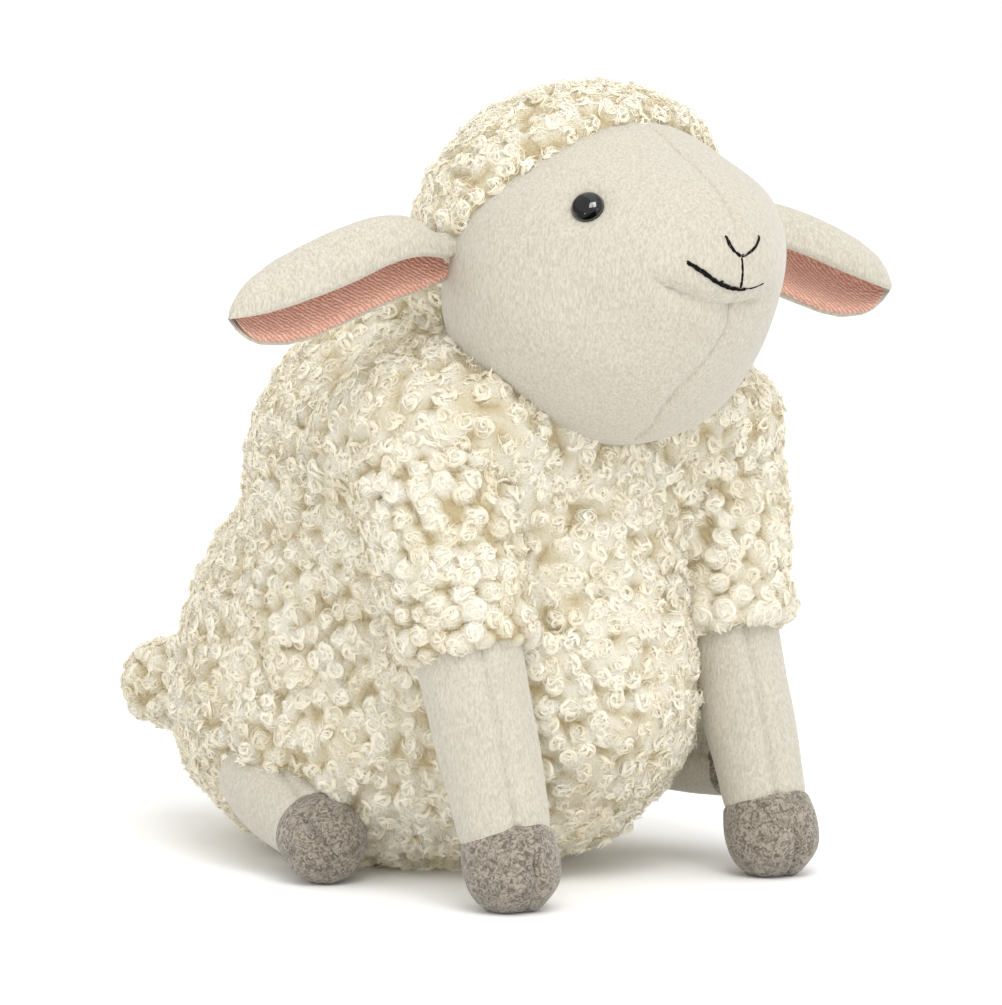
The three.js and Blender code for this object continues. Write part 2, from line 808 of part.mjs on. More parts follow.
// Hind legs
function hindLegPieces(group, word) {
  const root = hindRootWidth / 2;
  const legEnd = hindHoofStart;
  const ankle = hindAnkleWidth / 2;
  const wall = velourThickness;
  const outside = [
    ...rootArc(root),
    [root, 0],
    [hindLegWidth / 2, legEnd / 2],
    [ankle, legEnd],
    [0, legEnd],
  ];
  const inside = [
    ...rootArc(root - wall),
    [root - wall, 0],
    [hindLegWidth / 2 - wall, legEnd / 2],
    [ankle - wall, legEnd],
    [ankle - wall, legEnd + cutOverrun],
    [0, legEnd + cutOverrun],
  ];
  const opening = post(hindFill / 2, 0, root + cutOverrun);
  addPiece(group, `hind_leg_cover_${word}`, sheath(outside, inside).subtract(opening), velour);

  const hoofStart = legEnd + seamGap;
  const hoofLength = hindHoofLength - seamGap;
  const hoofRadius = hindHoofWidth / 2;
  const hoofOutside = hoofOutline(ankle, hoofRadius, hoofStart, hoofLength);
  const hoofBore = [
    [0, hoofStart - cutOverrun],
    [ankle - wall, hoofStart - cutOverrun],
    ...hoofOutline(ankle - wall, hoofRadius - wall, hoofStart, hoofLength - wall),
  ];
  const hoof = sheath([[0, hoofStart], ...hoofOutside], hoofBore);
  addPiece(group, `hind_hoof_${word}`, hoof.subtract(fromWorld(floor, group)), hoofFabric);

  const slack = wall + seamGap;
  const stuffing = limbSolid([
    ...rootArc(root - slack),
    [root - slack, 0],
    [hindLegWidth / 2 - slack, legEnd / 2],
    ...hoofOutline(ankle - slack, hoofRadius - slack, hoofStart, hoofLength - slack),
  ]);
  addPiece(group, `hind_leg_stuffing_${word}`, stuffing, fibre);
}

function hindLegRoom() {
  const outline = [
    [hindRootWidth / 2, 0],
    [hindLegWidth / 2, hindHoofStart / 2],
    [hindHoofWidth / 2, hindLegLength],
  ];
  return swingRoom(outline, -hindLegSplayIn, hindLegSplayOut);
}

// The right hind leg dips until its hoof rests on the floor, and the left one is held out above it
function dipOf([radius, distance]) {
  const span = Math.hypot(radius, distance);
  const drop = Math.asin((rightHindHeight + floorPress) / span);
  return THREE.MathUtils.radToDeg(drop - Math.atan2(radius, distance));
}

const hindHoofStart = hindLegLength - hindHoofLength;
const hindHoof = hoofOutline(hindAnkleWidth / 2, hindHoofWidth / 2, hindHoofStart, hindHoofLength);
const rightHindDip = Math.min(...hindHoof.slice(0, -1).map(dipOf));
const leftHind = { side: 1, word: "left", splay: leftHindSplay, dip: leftHindDip };
leftHind.at = new THREE.Vector3(leftHindSide, -leftHindForward, leftHindHeight);
const rightHind = { side: -1, word: "right", splay: rightHindSplay, dip: rightHindDip };
rightHind.at = new THREE.Vector3(-rightHindSide, -rightHindForward, rightHindHeight);
for (const { side, word, at, splay, dip } of [leftHind, rightHind]) {
  const turn = THREE.MathUtils.degToRad(splay);
  const sink = THREE.MathUtils.degToRad(dip);
  const level = Math.cos(sink);
  const along = new THREE.Vector3(side * Math.sin(turn) * level, -Math.cos(turn) * level, -Math.sin(sink));
  const group = limbGroup(sheep, `hind_leg_${word}_place`, at, along, new THREE.Vector3(0, 0, side));
  hindLegPieces(group, word);
  rooms.push(inWorld(hindLegRoom(), group));
}

// Tail
function tailOutline(radius, length) {
  return tailLengthShares.map((lengthShare, i) => [radius * tailRadiusShares[i], length * lengthShare]);
}

const tailTurn = THREE.MathUtils.degToRad(tailSide);
const tailDip = THREE.MathUtils.degToRad(tailDroop);
const tailAlong = new THREE.Vector3(-Math.sin(tailTurn), Math.cos(tailTurn), -Math.sin(tailDip));
const tailAt = new THREE.Vector3(-tailRootSide, tailRootSetback, tailRootHeight);
const tailGroup = limbGroup(sheep, "tail_place", tailAt, tailAlong, new THREE.Vector3(0, 0, 1));
const tailRoot = tailRootWidth / 2;
const tailOutside = [...rootArc(tailRoot), [tailRoot, 0], ...tailOutline(tailWidth / 2, tailLength)];
const tailHollow = (slack) => [
  ...rootArc(tailRoot - slack),
  [tailRoot - slack, 0],
  ...tailOutline(tailWidth / 2 - slack, tailLength - slack),
];
const tailOpening = post(tailFill / 2, 0, tailRoot + cutOverrun);
addPiece(tailGroup, "tail_cover", sheath(tailOutside, tailHollow(tailFleece)).subtract(tailOpening), fleece);
addPiece(tailGroup, "tail_stuffing", limbSolid(tailHollow(tailFleece + seamGap)), fibre);
const tailRoomOutline = [[tailRoot, 0], ...tailOutline(tailWidth / 2, tailLength)];
rooms.push(inWorld(swingRoom(tailRoomOutline, -tailWag, tailWag), tailGroup));

// The room that the head and its cap need as they turn and nod over the body
function headRoom() {
  const across = skullWidth / 2 + collarClearance;
  const down = headSeatRadius + collarClearance;
  const bare = ball(1, bodySides).scale([across, across, down]);
  const capReach = Math.hypot(capSetback, capRise) + Math.max(capWidth, capDepth) / 2 + seamGap;
  const nod = THREE.MathUtils.degToRad(headNodUp);
  const capLow = -capNapeDrop * Math.cos(nod) - capReach * Math.sin(nod) - seamGap;
  const size = capReach * 4;
  const below = block(size, size, size).translate([0, 0, capLow - size / 2]);
  const capBall = ball(capReach, bodySides).subtract(below);
  return bare.add(capBall).translate([0, -headForward, headMiddle]);
}
rooms.push(headRoom());

// Neck plug, dished on top for the head's round seat, in a socket wide enough for the head's turn
const seatRoom = headSeatRadius + seamGap;
const neckFarEdge = neckSetback + neckWidth / 2 - neckRim;
const neckTop = headMiddle - Math.sqrt(seatRoom ** 2 - neckFarEdge ** 2);
const neckAt = [0, neckSetback - headForward, 0];
const neckDish = roomBall(seatRoom, bodySides).translate([0, -headForward, headMiddle]);
const neckPlug = post(neckWidth / 2, neckRoot, neckTop).translate(neckAt);
addPiece(sheep, "neck_stuffing", neckPlug.subtract(neckDish), fibre);
const neckSweep = neckSetback * Math.sin(THREE.MathUtils.degToRad(headTurn));
const neckRoom = (neckWidth / 2 + neckSweep + seamGap) * roundness(limbSides);
rooms.push(post(neckRoom, neckRoot - seamGap, headMiddle).translate(neckAt));

// Seat pouch and the body's own cover and stuffing
function pouch(by) {
  const base = haunchMiddle - haunchHeight / 2 + fleeceThickness;
  const profile = [[0, 0]];
  for (let i = 0; i <= pouchSteps; i++) {
    const angle = Math.PI / 2 * i / pouchSteps;
    profile.push([i === pouchSteps ? 0 : Math.cos(angle), Math.sin(angle)]);
  }
  const dome = turned(profile, bodySides);
  const size = [pouchWidth / 2 + by, pouchLength / 2 + by, pouchHeight + by * 2];
  return dome.scale(size).translate([0, haunchSetback, base - by]);
}

// Cutting can leave crumbs beside a piece, so the piece is its largest body
function largest(solid) {
  return solid.decompose().reduce((most, next) => (next.volume() > most.volume() ? next : most));
}

const movingRoom = joined(rooms);
const bodyReach = haunchLength;
const bodyOutside = softForm(bodyField, bodyCentre, bodyReach, bodySides, 0).subtract(floor);
const bodyInside = softForm(bodyField, bodyCentre, bodyReach, limbSides, fleeceThickness);
addPiece(sheep, "body_cover", largest(bodyOutside.subtract(bodyInside).subtract(movingRoom)), fleece);
const stuffingForm = softForm(bodyField, bodyCentre, bodyReach, limbSides, fleeceThickness + seamGap);
const bodyStuffing = stuffingForm.subtract(movingRoom).subtract(pouch(seamGap));
addPiece(sheep, "body_stuffing", largest(bodyStuffing), fibre);
addPiece(sheep, "seat_pouch", pouch(0).intersect(stuffingForm), pouchCloth);

export default sheep;
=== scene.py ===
import math
import bpy
import bmesh
import numpy as np
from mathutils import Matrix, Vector
from mathutils.bvhtree import BVHTree
from mathutils.kdtree import KDTree


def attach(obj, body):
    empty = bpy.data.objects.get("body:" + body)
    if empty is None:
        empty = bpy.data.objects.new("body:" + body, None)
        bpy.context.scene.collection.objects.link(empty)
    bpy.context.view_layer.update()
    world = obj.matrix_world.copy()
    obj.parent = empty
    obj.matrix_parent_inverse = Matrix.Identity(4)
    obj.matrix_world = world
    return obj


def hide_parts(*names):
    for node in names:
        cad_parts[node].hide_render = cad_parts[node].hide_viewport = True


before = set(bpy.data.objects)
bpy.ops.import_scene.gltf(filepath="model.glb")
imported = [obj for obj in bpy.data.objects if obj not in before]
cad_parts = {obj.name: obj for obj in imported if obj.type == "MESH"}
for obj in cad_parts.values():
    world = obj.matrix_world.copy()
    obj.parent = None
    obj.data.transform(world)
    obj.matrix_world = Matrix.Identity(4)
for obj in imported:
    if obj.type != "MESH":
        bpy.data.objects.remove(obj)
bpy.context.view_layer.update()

# The studio: the photo's long lens at the sheep's front right, a little above a white floor.
# The world and three wide suns give soft light all round, four small lamps are there for the
# highlights in the eyes, and what is polished reflects a dark room.

MM = 0.001


def look_at(obj, target):
    way = Vector(target) - obj.location
    obj.rotation_euler = way.to_track_quat("-Z", "Y").to_euler()


camera_data = bpy.data.cameras.new("camera")
camera_data.lens = 173.33
camera_data.sensor_width = 36
camera = bpy.data.objects.new("camera", camera_data)
bpy.context.collection.objects.link(camera)
turn, lift, distance = math.radians(-39), math.radians(5), 1.5
aim = Vector((0, -0.038, 0.113))
level = math.cos(lift)
camera.location = aim + distance * Vector((math.sin(turn) * level, -math.cos(turn) * level, math.sin(lift)))
look_at(camera, aim)
bpy.context.scene.camera = camera
bpy.context.scene.view_settings.view_transform = "Standard"

world = bpy.data.worlds.new("studio")
bpy.context.scene.world = world
world.use_nodes = True
tree = world.node_tree
tree.nodes.clear()
path_node = tree.nodes.new("ShaderNodeLightPath")
seen = tree.nodes.new("ShaderNodeBackground")
seen.inputs["Color"].default_value = (1, 1, 1, 1)
fill_light = tree.nodes.new("ShaderNodeBackground")
fill_light.inputs["Color"].default_value = (1.0, 1.0, 1.0, 1)
fill_light.inputs["Strength"].default_value = 0.71
dark_room = tree.nodes.new("ShaderNodeBackground")
dark_room.inputs["Color"].default_value = (0.015, 0.015, 0.015, 1)
lighting = tree.nodes.new("ShaderNodeMixShader")
tree.links.new(path_node.outputs["Is Glossy Ray"], lighting.inputs["Fac"])
tree.links.new(fill_light.outputs[0], lighting.inputs[1])
tree.links.new(dark_room.outputs[0], lighting.inputs[2])
mix = tree.nodes.new("ShaderNodeMixShader")
world_out = tree.nodes.new("ShaderNodeOutputWorld")
tree.links.new(path_node.outputs["Is Camera Ray"], mix.inputs["Fac"])
tree.links.new(lighting.outputs[0], mix.inputs[1])
tree.links.new(seen.outputs[0], mix.inputs[2])
tree.links.new(mix.outputs[0], world_out.inputs["Surface"])


def lamp(name, kind, energy, place, target, **settings):
    data = bpy.data.lights.new(name, kind)
    data.energy = energy
    for key, value in settings.items():
        setattr(data, key, value)
    obj = bpy.data.objects.new(name, data)
    bpy.context.collection.objects.link(obj)
    obj.location = place
    look_at(obj, target)


lamp("key", "SUN", 0.38, (-0.25, -0.6, 1.6), (0, 0, 0), angle=math.radians(130))
lamp("right_side", "SUN", 0.95, (1.3, -0.5, 0.8), (0, 0, 0), angle=math.radians(150))
lamp("left_back", "SUN", 0.72, (-1.4, 0.45, 0.9), (0, 0, 0), angle=math.radians(160))
eye_place = (-0.04, -0.12, 0.2)
lamp("window_left", "AREA", 3.2, (-0.66, -0.8, 1.35), eye_place, shape="RECTANGLE", size=0.36, size_y=0.6)
lamp("window_right", "AREA", 5.4, (-0.3, -1.02, 1.35), eye_place, shape="RECTANGLE", size=0.4, size_y=0.66)
lamp("low_left", "AREA", 0.6, (-1.35, -0.72, 0.25), eye_place, size=0.1)
lamp("low_right", "AREA", 0.6, (0.15, -1.5, 0.55), eye_place, size=0.1)

floor_mesh = bpy.data.meshes.new("floor")
floor_mesh.from_pydata([(-20, -20, 0), (20, -20, 0), (20, 20, 0), (-20, 20, 0)], [], [(0, 1, 2, 3)])
floor_piece = bpy.data.objects.new("floor", floor_mesh)
bpy.context.collection.objects.link(floor_piece)
floor_piece.visible_glossy = False
floor_paint = bpy.data.materials.new("floor_white")
floor_paint.use_nodes = True
floor_paint.node_tree.nodes["Principled BSDF"].inputs["Base Color"].default_value = (0.99, 0.99, 0.99, 1)
floor_paint.node_tree.nodes["Principled BSDF"].inputs["Roughness"].default_value = 0.9
floor_paint.node_tree.nodes["Principled BSDF"].inputs["Specular IOR Level"].default_value = 0.1
floor_mesh.materials.append(floor_paint)

# The body's cloth: a firmly stuffed bag of curly fleece, sewn to one soft form of blended lobes.
# This is the cloth that the curls grow from, a few millimetres inside the fleece's own outline.
# The values are millimetres and follow the frame's solids.

body_lobes = [
    ((0, 4, 60), (146, 180, 130)),
    ((0, 4, 35), (136, 165, 80)),
    ((0, -24, 112), (136, 160, 126)),
    ((0, -22, 141), (122, 122, 92)),
    ((0, -52, 62), (96, 112, 100)),
    ((51, -65, 136), (66, 74, 56)),
    ((-48, -64, 140), (60, 72, 44)),
]


def soft_field(lobes, blend):
    """A function of points (N, 3) that is negative inside the blended lobes, in millimetres."""
    def field(points):
        total = None
        for middle, size in lobes:
            half = np.array(size) / 2
            depth = (np.linalg.norm((points - np.array(middle)) / half, axis=1) - 1) * half.min()
            if total is None:
                total = depth
            else:
                share = np.maximum(blend - np.abs(total - depth), 0) / blend
                total = np.minimum(total, depth) - share * share * blend / 4
        return total
    return field


def star_surface(field, centre, directions, reach, offset, halvings=26):
    """Points where rays from the centre cross the form's surface, which lies deeper by the offset."""
    low = np.zeros(len(directions))
    high = np.full(len(directions), float(reach))
    for _ in range(halvings):
        middle = (low + high) / 2
        inside = field(centre + directions * middle[:, None]) < -offset
        low = np.where(inside, middle, low)
        high = np.where(inside, high, middle)
    return centre + directions * low[:, None]


def even_directions(subdivisions):
    """Unit directions and triangles of an icosphere."""
    bm = bmesh.new()
    bmesh.ops.create_icosphere(bm, subdivisions=subdivisions, radius=1)
    points = np.array([v.co[:] for v in bm.verts])
    faces = np.array([[v.index for v in f.verts] for f in bm.faces])
    bm.free()
    return points / np.linalg.norm(points, axis=1)[:, None], faces


def waves(points, length, seed, count=7):
    """Smooth noise between about -1 and 1, from a few crossed waves of one length in millimetres."""
    rng = np.random.default_rng(seed)
    total = np.zeros(len(points))
    for _ in range(count):
        way = rng.normal(size=3)
        way /= np.linalg.norm(way)
        count_up = points @ way * 2 * math.pi / (length * rng.uniform(0.7, 1.4))
        total += np.sin(count_up + rng.uniform(0, 6.28))
    return total / math.sqrt(count)


def make_piece(name, points, faces, material, body, slot, tone=None, facing=None):
    """A mesh object from points in millimetres and faces of one corner count, riding on a body."""
    mesh = bpy.data.meshes.new(name)
    corners = faces.shape[1]
    mesh.vertices.add(len(points))
    mesh.vertices.foreach_set("co", (points * MM).astype(np.float32).ravel())
    mesh.loops.add(faces.size)
    mesh.loops.foreach_set("vertex_index", faces.astype(np.int32).ravel())
    mesh.polygons.add(len(faces))
    mesh.polygons.foreach_set("loop_start", np.arange(0, faces.size, corners, dtype=np.int32))
    mesh.polygons.foreach_set("use_smooth", np.ones(len(faces), dtype=bool))
    if tone is not None:
        layer = mesh.attributes.new("tone", "FLOAT", "POINT")
        layer.data.foreach_set("value", tone.astype(np.float32))
    mesh.update(calc_edges=True)
    mesh.validate()
    if facing is not None:
        mesh.normals_split_custom_set_from_vertices(facing.astype(np.float32))
    mesh.materials.append(material)
    piece = bpy.data.objects.new(name, mesh)
    bpy.context.collection.objects.link(piece)
    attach(piece, body)
    return piece


def new_material(name):
    material = bpy.data.materials.new(name)
    material.use_nodes = True
    nodes = material.node_tree.nodes
    shader = nodes["Principled BSDF"]
    return material, nodes, material.node_tree.links, shader


def linear(red, green, blue):
    """A linear colour from an sRGB one of 0 to 255."""
    values = []
    for part in (red, green, blue):
        part /= 255
        values.append(part / 12.92 if part <= 0.04045 else ((part + 0.055) / 1.055) ** 2.4)
    return (*values, 1)


def new_group(name, inputs, outputs):
    """An empty shader node group with named sockets. Returns it with its own input and output nodes."""
    group = bpy.data.node_groups.new(name, "ShaderNodeTree")
    for way, sockets in (("INPUT", inputs), ("OUTPUT", outputs)):
        for label, kind in sockets:
            group.interface.new_socket(label, in_out=way, socket_type=f"NodeSocket{kind}")
    return group, group.nodes.new("NodeGroupInput"), group.nodes.new("NodeGroupOutput")


# The grain that every cloth, thread and plastic here has: spots between two colours, and their
# height. A Mix node keeps its colours in sockets 6 and 7, and its colour result in output 2.
grain_inputs = [
    ("Dark", "Color"), ("Light", "Color"), ("Low", "Float"), ("High", "Float"), ("Scale", "Float"),
    ("Detail", "Float"), ("Roughness", "Float"), ("Distortion", "Float"), ("Stretch", "Vector"),
]
grain_group, given, made = new_group("grain", grain_inputs, [("Colour", "Color"), ("Height", "Float")])
nodes, links = grain_group.nodes, grain_group.links
place = nodes.new("ShaderNodeTexCoord")
turned = nodes.new("ShaderNodeMapping")
turned.inputs["Rotation"].default_value = (0.35, 0.4, 0)
noise = nodes.new("ShaderNodeTexNoise")
spots = nodes.new("ShaderNodeMapRange")
blended = nodes.new("ShaderNodeMix")
blended.data_type = "RGBA"
links.new(place.outputs["Object"], turned.inputs["Vector"])
links.new(given.outputs["Stretch"], turned.inputs["Scale"])
links.new(turned.outputs["Vector"], noise.inputs["Vector"])
for label in ("Scale", "Detail", "Roughness", "Distortion"):
    links.new(given.outputs[label], noise.inputs[label])
links.new(noise.outputs["Fac"], spots.inputs["Value"])
links.new(given.outputs["Low"], spots.inputs["From Min"])
links.new(given.outputs["High"], spots.inputs["From Max"])
links.new(spots.outputs["Result"], blended.inputs[0])
links.new(given.outputs["Dark"], blended.inputs[6])
links.new(given.outputs["Light"], blended.inputs[7])
links.new(blended.outputs[2], made.inputs["Colour"])
links.new(noise.outputs["Fac"], made.inputs["Height"])


def add_grain(nodes, scale, dark=(0, 0, 0, 1), light=(1, 1, 1, 1), **values):
    """Places the grain group in a material with its own values."""
    grain = nodes.new("ShaderNodeGroup")
    grain.node_tree = grain_group
    plain = {"Low": 0.3, "High": 0.7, "Detail": 3, "Roughness": 0.6, "Distortion": 0, "Stretch": (1, 1, 1)}
    for label, value in {**plain, **values, "Scale": scale, "Dark": dark, "Light": light}.items():
        grain.inputs[label].default_value = value
    return grain


def add_bump(nodes, links, shader, height, strength, distance):
    bump = nodes.new("ShaderNodeBump")
    bump.inputs["Strength"].default_value = strength
    bump.inputs["Distance"].default_value = distance
    links.new(height, bump.inputs["Height"])
    links.new(bump.outputs["Normal"], shader.inputs["Normal"])
    return bump


# Painted shade: wool is painted darker and yellower the deeper it lies in the pile, where shade falls, and
# nearly white on its tips. The grain adds its own mottle on top.
wool_inputs = [("Tone", "Float"), ("Grain", "Float"), ("Strength", "Float"), ("Low", "Float")]
wool_group, given, made = new_group("wool", wool_inputs, [("Colour", "Color"), ("Height", "Float")])
nodes, links = wool_group.nodes, wool_group.links
grain = add_grain(nodes, 1, Detail=4, Roughness=0.7)
links.new(given.outputs["Grain"], grain.inputs["Scale"])
mottle_and_shade = nodes.new("ShaderNodeMath")
mottle_and_shade.operation = "MULTIPLY_ADD"
links.new(grain.outputs["Height"], mottle_and_shade.inputs[0])
links.new(given.outputs["Strength"], mottle_and_shade.inputs[1])
links.new(given.outputs["Tone"], mottle_and_shade.inputs[2])
painted_depth_shade = nodes.new("ShaderNodeMapRange")
links.new(mottle_and_shade.outputs[0], painted_depth_shade.inputs["Value"])
links.new(given.outputs["Low"], painted_depth_shade.inputs["From Min"])
ramp = nodes.new("ShaderNodeValToRGB")
stops = ramp.color_ramp.elements
stops.new(0.28)
stops.new(0.63)
wool_shade_colours = [(198, 178, 135), (223, 210, 177), (235, 227, 204), (244, 239, 224)]
for stop, colour in zip(stops, wool_shade_colours):
    stop.color = linear(*colour)
links.new(painted_depth_shade.outputs["Result"], ramp.inputs["Fac"])
links.new(ramp.outputs["Color"], made.inputs["Colour"])
links.new(grain.outputs["Height"], made.inputs["Height"])


def fleece_material(name, grain_scale, strength, low):
    """Wool with painted shade: darker in the depths, by the tone that each mesh carries."""
    material, nodes, links, shader = new_material(name)
    tone = nodes.new("ShaderNodeAttribute")
    tone.attribute_name = "tone"
    wool = nodes.new("ShaderNodeGroup")
    wool.node_tree = wool_group
    links.new(tone.outputs["Fac"], wool.inputs["Tone"])
    for label, value in (("Grain", grain_scale), ("Strength", strength), ("Low", low)):
        wool.inputs[label].default_value = value
    links.new(wool.outputs["Colour"], shader.inputs["Base Color"])
    shader.inputs["Roughness"].default_value = 0.95
    shader.inputs["Specular IOR Level"].default_value = 0.1
    shader.inputs["Sheen Weight"].default_value = 0.2
    shader.inputs["Sheen Roughness"].default_value = 0.5
    return material, nodes, links, shader, wool


fleece_ground, nodes, links, shader, wool = fleece_material("fleece_ground", 1000, 0.3, 0.1)
add_bump(nodes, links, shader, wool.outputs["Height"], 0.9, 0.0016)

# Painted glow: a fibre seen from behind glows faintly in its own wool colour, standing in for the light a thin
# fibre would pass on from its front.
fleece_curls, nodes, links, shader, wool = fleece_material("fleece_curls", 500, 0.15, 0)
back = nodes.new("ShaderNodeNewGeometry")
painted_glow = nodes.new("ShaderNodeMix")
painted_glow.data_type = "RGBA"
painted_glow.inputs[6].default_value = (0, 0, 0, 1)
links.new(back.outputs["Backfacing"], painted_glow.inputs[0])
links.new(wool.outputs["Colour"], painted_glow.inputs[7])
links.new(painted_glow.outputs[2], shader.inputs["Emission Color"])
shader.inputs["Emission Strength"].default_value = 0.21
fleece_curls.cycles.emission_sampling = "NONE"

body_field = soft_field(body_lobes, 22)
body_centre = np.array([0.0, -12.0, 86.0])
skin_depth = 4.7

directions, ball_faces = even_directions(6)

# The body's pile: curly wool, knitted into the cloth, that gathers in soft round tufts.
# Each tuft is raised from the cloth, and locks of fine fibres curl round it and lie on it.


def spread(points, faces, spacing, seed, allowed=None):
    """Places and outward normals spread evenly over a mesh, at least the spacing apart."""
    rng = np.random.default_rng(seed)
    a, b, c = (points[faces[:, i]] for i in range(3))
    cross = np.cross(b - a, c - a)
    area = np.linalg.norm(cross, axis=1) / 2
    keep = area > 0
    if allowed is not None:
        keep &= allowed((a + b + c) / 3)
    chosen = np.flatnonzero(keep)
    total = area[chosen].sum()
    count = int(total / spacing ** 2 * 5)
    picks = rng.choice(chosen, size=count, p=area[chosen] / total)
    u, v = rng.random(count), rng.random(count)
    flip = u + v > 1
    u[flip], v[flip] = 1 - u[flip], 1 - v[flip]
    places = a[picks] + (b - a)[picks] * u[:, None] + (c - a)[picks] * v[:, None]
    normals = cross[picks] / (2 * area[picks])[:, None]
    near = KDTree(count)
    for i, place in enumerate(places):
        near.insert(place, i)
    near.balance()
    free = np.ones(count, dtype=bool)
    kept = []
    for i in range(count):
        if free[i]:
            kept.append(i)
            for _, other, _ in near.find_range(places[i], spacing):
                free[other] = False
    return places[kept], normals[kept]


def smooth_step(value):
    value = np.clip(value, 0, 1)
    return value * value * (3 - 2 * value)


def unit(vectors):
    return vectors / np.maximum(np.linalg.norm(vectors, axis=-1, keepdims=True), 1e-9)


def crossways(normals, rng):
    """Two directions across each normal, the first one turned at random."""
    loose = rng.normal(size=normals.shape)
    first = unit(loose - normals * np.sum(loose * normals, axis=-1, keepdims=True))
    return first, np.cross(normals, first)


def tuft_relief(centres, seed, high, reach):
    """A function of points that gives how high the tufts stand there, in millimetres."""
    rng = np.random.default_rng(seed)
    near = KDTree(len(centres))
    for index, centre in enumerate(centres):
        near.insert(centre, index)
    near.balance()
    heights = high * (rng.uniform(0.65, 1.15, len(centres)) + 0.16 * waves(centres, 15, seed))
    reaches = reach * rng.uniform(0.85, 1.15, len(centres))

    def relief(points):
        flat = points.reshape(-1, 3)
        out = np.zeros(len(flat))
        for row, point in enumerate(flat):
            for _, index, away in near.find_n(point, 3):
                rest = 1 - (away / reaches[index]) ** 2
                if rest > 0:
                    out[row] = max(out[row], heights[index] * math.sqrt(rest))
        return out.reshape(points.shape[:-1])
    return relief


# How deep under each tuft's foot the point lies that its fibres face away from
heart_depth = 1.8


def lock_paths(middles, normals, surface, relief, rng, steps, kind):
    """Paths that curl round their middles over the tufts, with their heights, ways out and tuft shading."""
    count = len(middles)

    def pick(name):
        return rng.uniform(*kind[name], count)[:, None]

    first, second = (way[:, None, :] for way in crossways(normals, rng))
    s = np.linspace(0, 1, steps)[None, :]
    turn = rng.choice([-1, 1], count)[:, None] * pick("sweep") * s
    phase = rng.uniform(0, 2 * math.pi, (count, 1))
    radius = (pick("start") * (1 - s) + pick("end") * s) * (1 + 0.22 * np.cos(2 * turn + phase))
    across = np.cos(turn) * radius - pick("shift")
    paths = middles[:, None, :] + first * across[..., None] + second * (np.sin(turn) * radius)[..., None]
    lean = rng.uniform(0, 0.35, (count, 1)) * np.cos(turn + phase * 2)
    landed = [surface.find_nearest(spot)[:2] for spot in paths.reshape(-1, 3).tolist()]
    ground = np.array([spot for spot, _ in landed]).reshape(paths.shape)
    ups = np.array([up for _, up in landed]).reshape(paths.shape)
    ups = unit(ups + normals[:, None, :] * 0.4)
    height = relief(ground) + pick("lift") * s ** 1.5 + lean * s + 0.4 - 0.8 * (1 - s) ** 6
    paths = ground + ups * height[..., None]
    hearts = middles - normals * heart_depth
    return paths, height, ups, unit(paths - hearts[:, None, :])


def fibres(paths, heights, ups, puffs, rng, each, across, over, thick, top):
    """Ribbons as fine as fibres, bundled along each path. Returns points, faces, tone and facing."""
    paths, heights, ups, puffs = (np.repeat(part, each, axis=0) for part in (paths, heights, ups, puffs))
    total, steps, _ = paths.shape
    along = unit(np.gradient(paths, axis=1))
    side = unit(np.cross(along, ups))
    up = np.cross(side, along)
    s = np.linspace(0, 1, steps)[None, :]
    angle = rng.uniform(0, 2 * math.pi, (total, 1)) + s * rng.uniform(-2, 2, (total, 1))
    reach = np.sqrt(rng.random((total, 1))) * np.interp(s, [0, 0.3, 0.75, 1], [0.7, 1.0, 0.9, 0.45])
    out = np.sin(angle) * reach
    spots = paths + side * (np.cos(angle) * reach * across)[..., None] + up * (out * over)[..., None]
    spots = spots + along * rng.normal(0, 0.35, (total, 1, 1))
    turned = side * (np.cos(angle) * reach)[..., None] + up * out[..., None]
    facing = puffs + ups * 0.35 + turned * 0.4
    facing = unit(facing - along * np.sum(facing * along, axis=-1, keepdims=True) * 0.7)
    side = unit(np.cross(along, facing))
    up = np.cross(side, along)
    tilt = np.clip(rng.normal(0, 0.22, (total, 1)) + s * rng.normal(0, 0.25, (total, 1)), -0.7, 0.7)
    half = thick * rng.uniform(0.7, 1.3, (total, 1)) * np.interp(s, [0, 0.2, 0.8, 1], [0.8, 1, 0.8, 0.25])
    edge = (side * np.cos(tilt)[..., None] + up * np.sin(tilt)[..., None]) * half[..., None]
    points = np.stack([spots - edge, spots + edge], axis=2)
    facing = np.repeat(facing[:, :, None, :], 2, axis=2)
    # Painted shade: a fibre's tone, and so its colour, is darker the lower it lies in the pile. The random part
    # is real variation between fibres.
    tone = (heights + out * over) / top + rng.normal(0, 0.15, (total, 1))
    base = np.arange(total)[:, None] * steps * 2 + np.arange(steps - 1)[None, :] * 2
    faces = np.stack([base, base + 1, base + 3, base + 2], axis=-1)
    tone = np.repeat(np.clip(tone, 0, 1).reshape(-1), 2)
    return points.reshape(-1, 3), faces.reshape(-1, 4), tone, facing.reshape(-1, 3)


def lock(start, end, sweep, shift, lift):
    """A kind of lock: ranges of its first and last radius, its turn, its shift and how far it lifts."""
    return {"start": start, "end": end, "sweep": sweep, "shift": shift, "lift": lift}


swirl = lock((1.7, 3.5), (1.0, 2.5), (1.1, 2.9), (-1.6, 1.6), (-0.1, 0.5))
comb = lock((2.1, 3.8), (1.8, 3.2), (0.9, 2.0), (1.2, 3.0), (-0.1, 0.4))
hook = lock((1.1, 2.1), (0.7, 1.3), (2.2, 4.8), (-2.0, 2.0), (0.2, 1.2))
fuzz = lock((1.0, 3.4), (0.8, 2.6), (1.0, 3.0), (-3.0, 3.0), (-0.2, 0.35))
stray = lock((1.2, 3.6), (1.0, 3.0), (1.5, 4.5), (-2.0, 2.0), (0.3, 1.9))

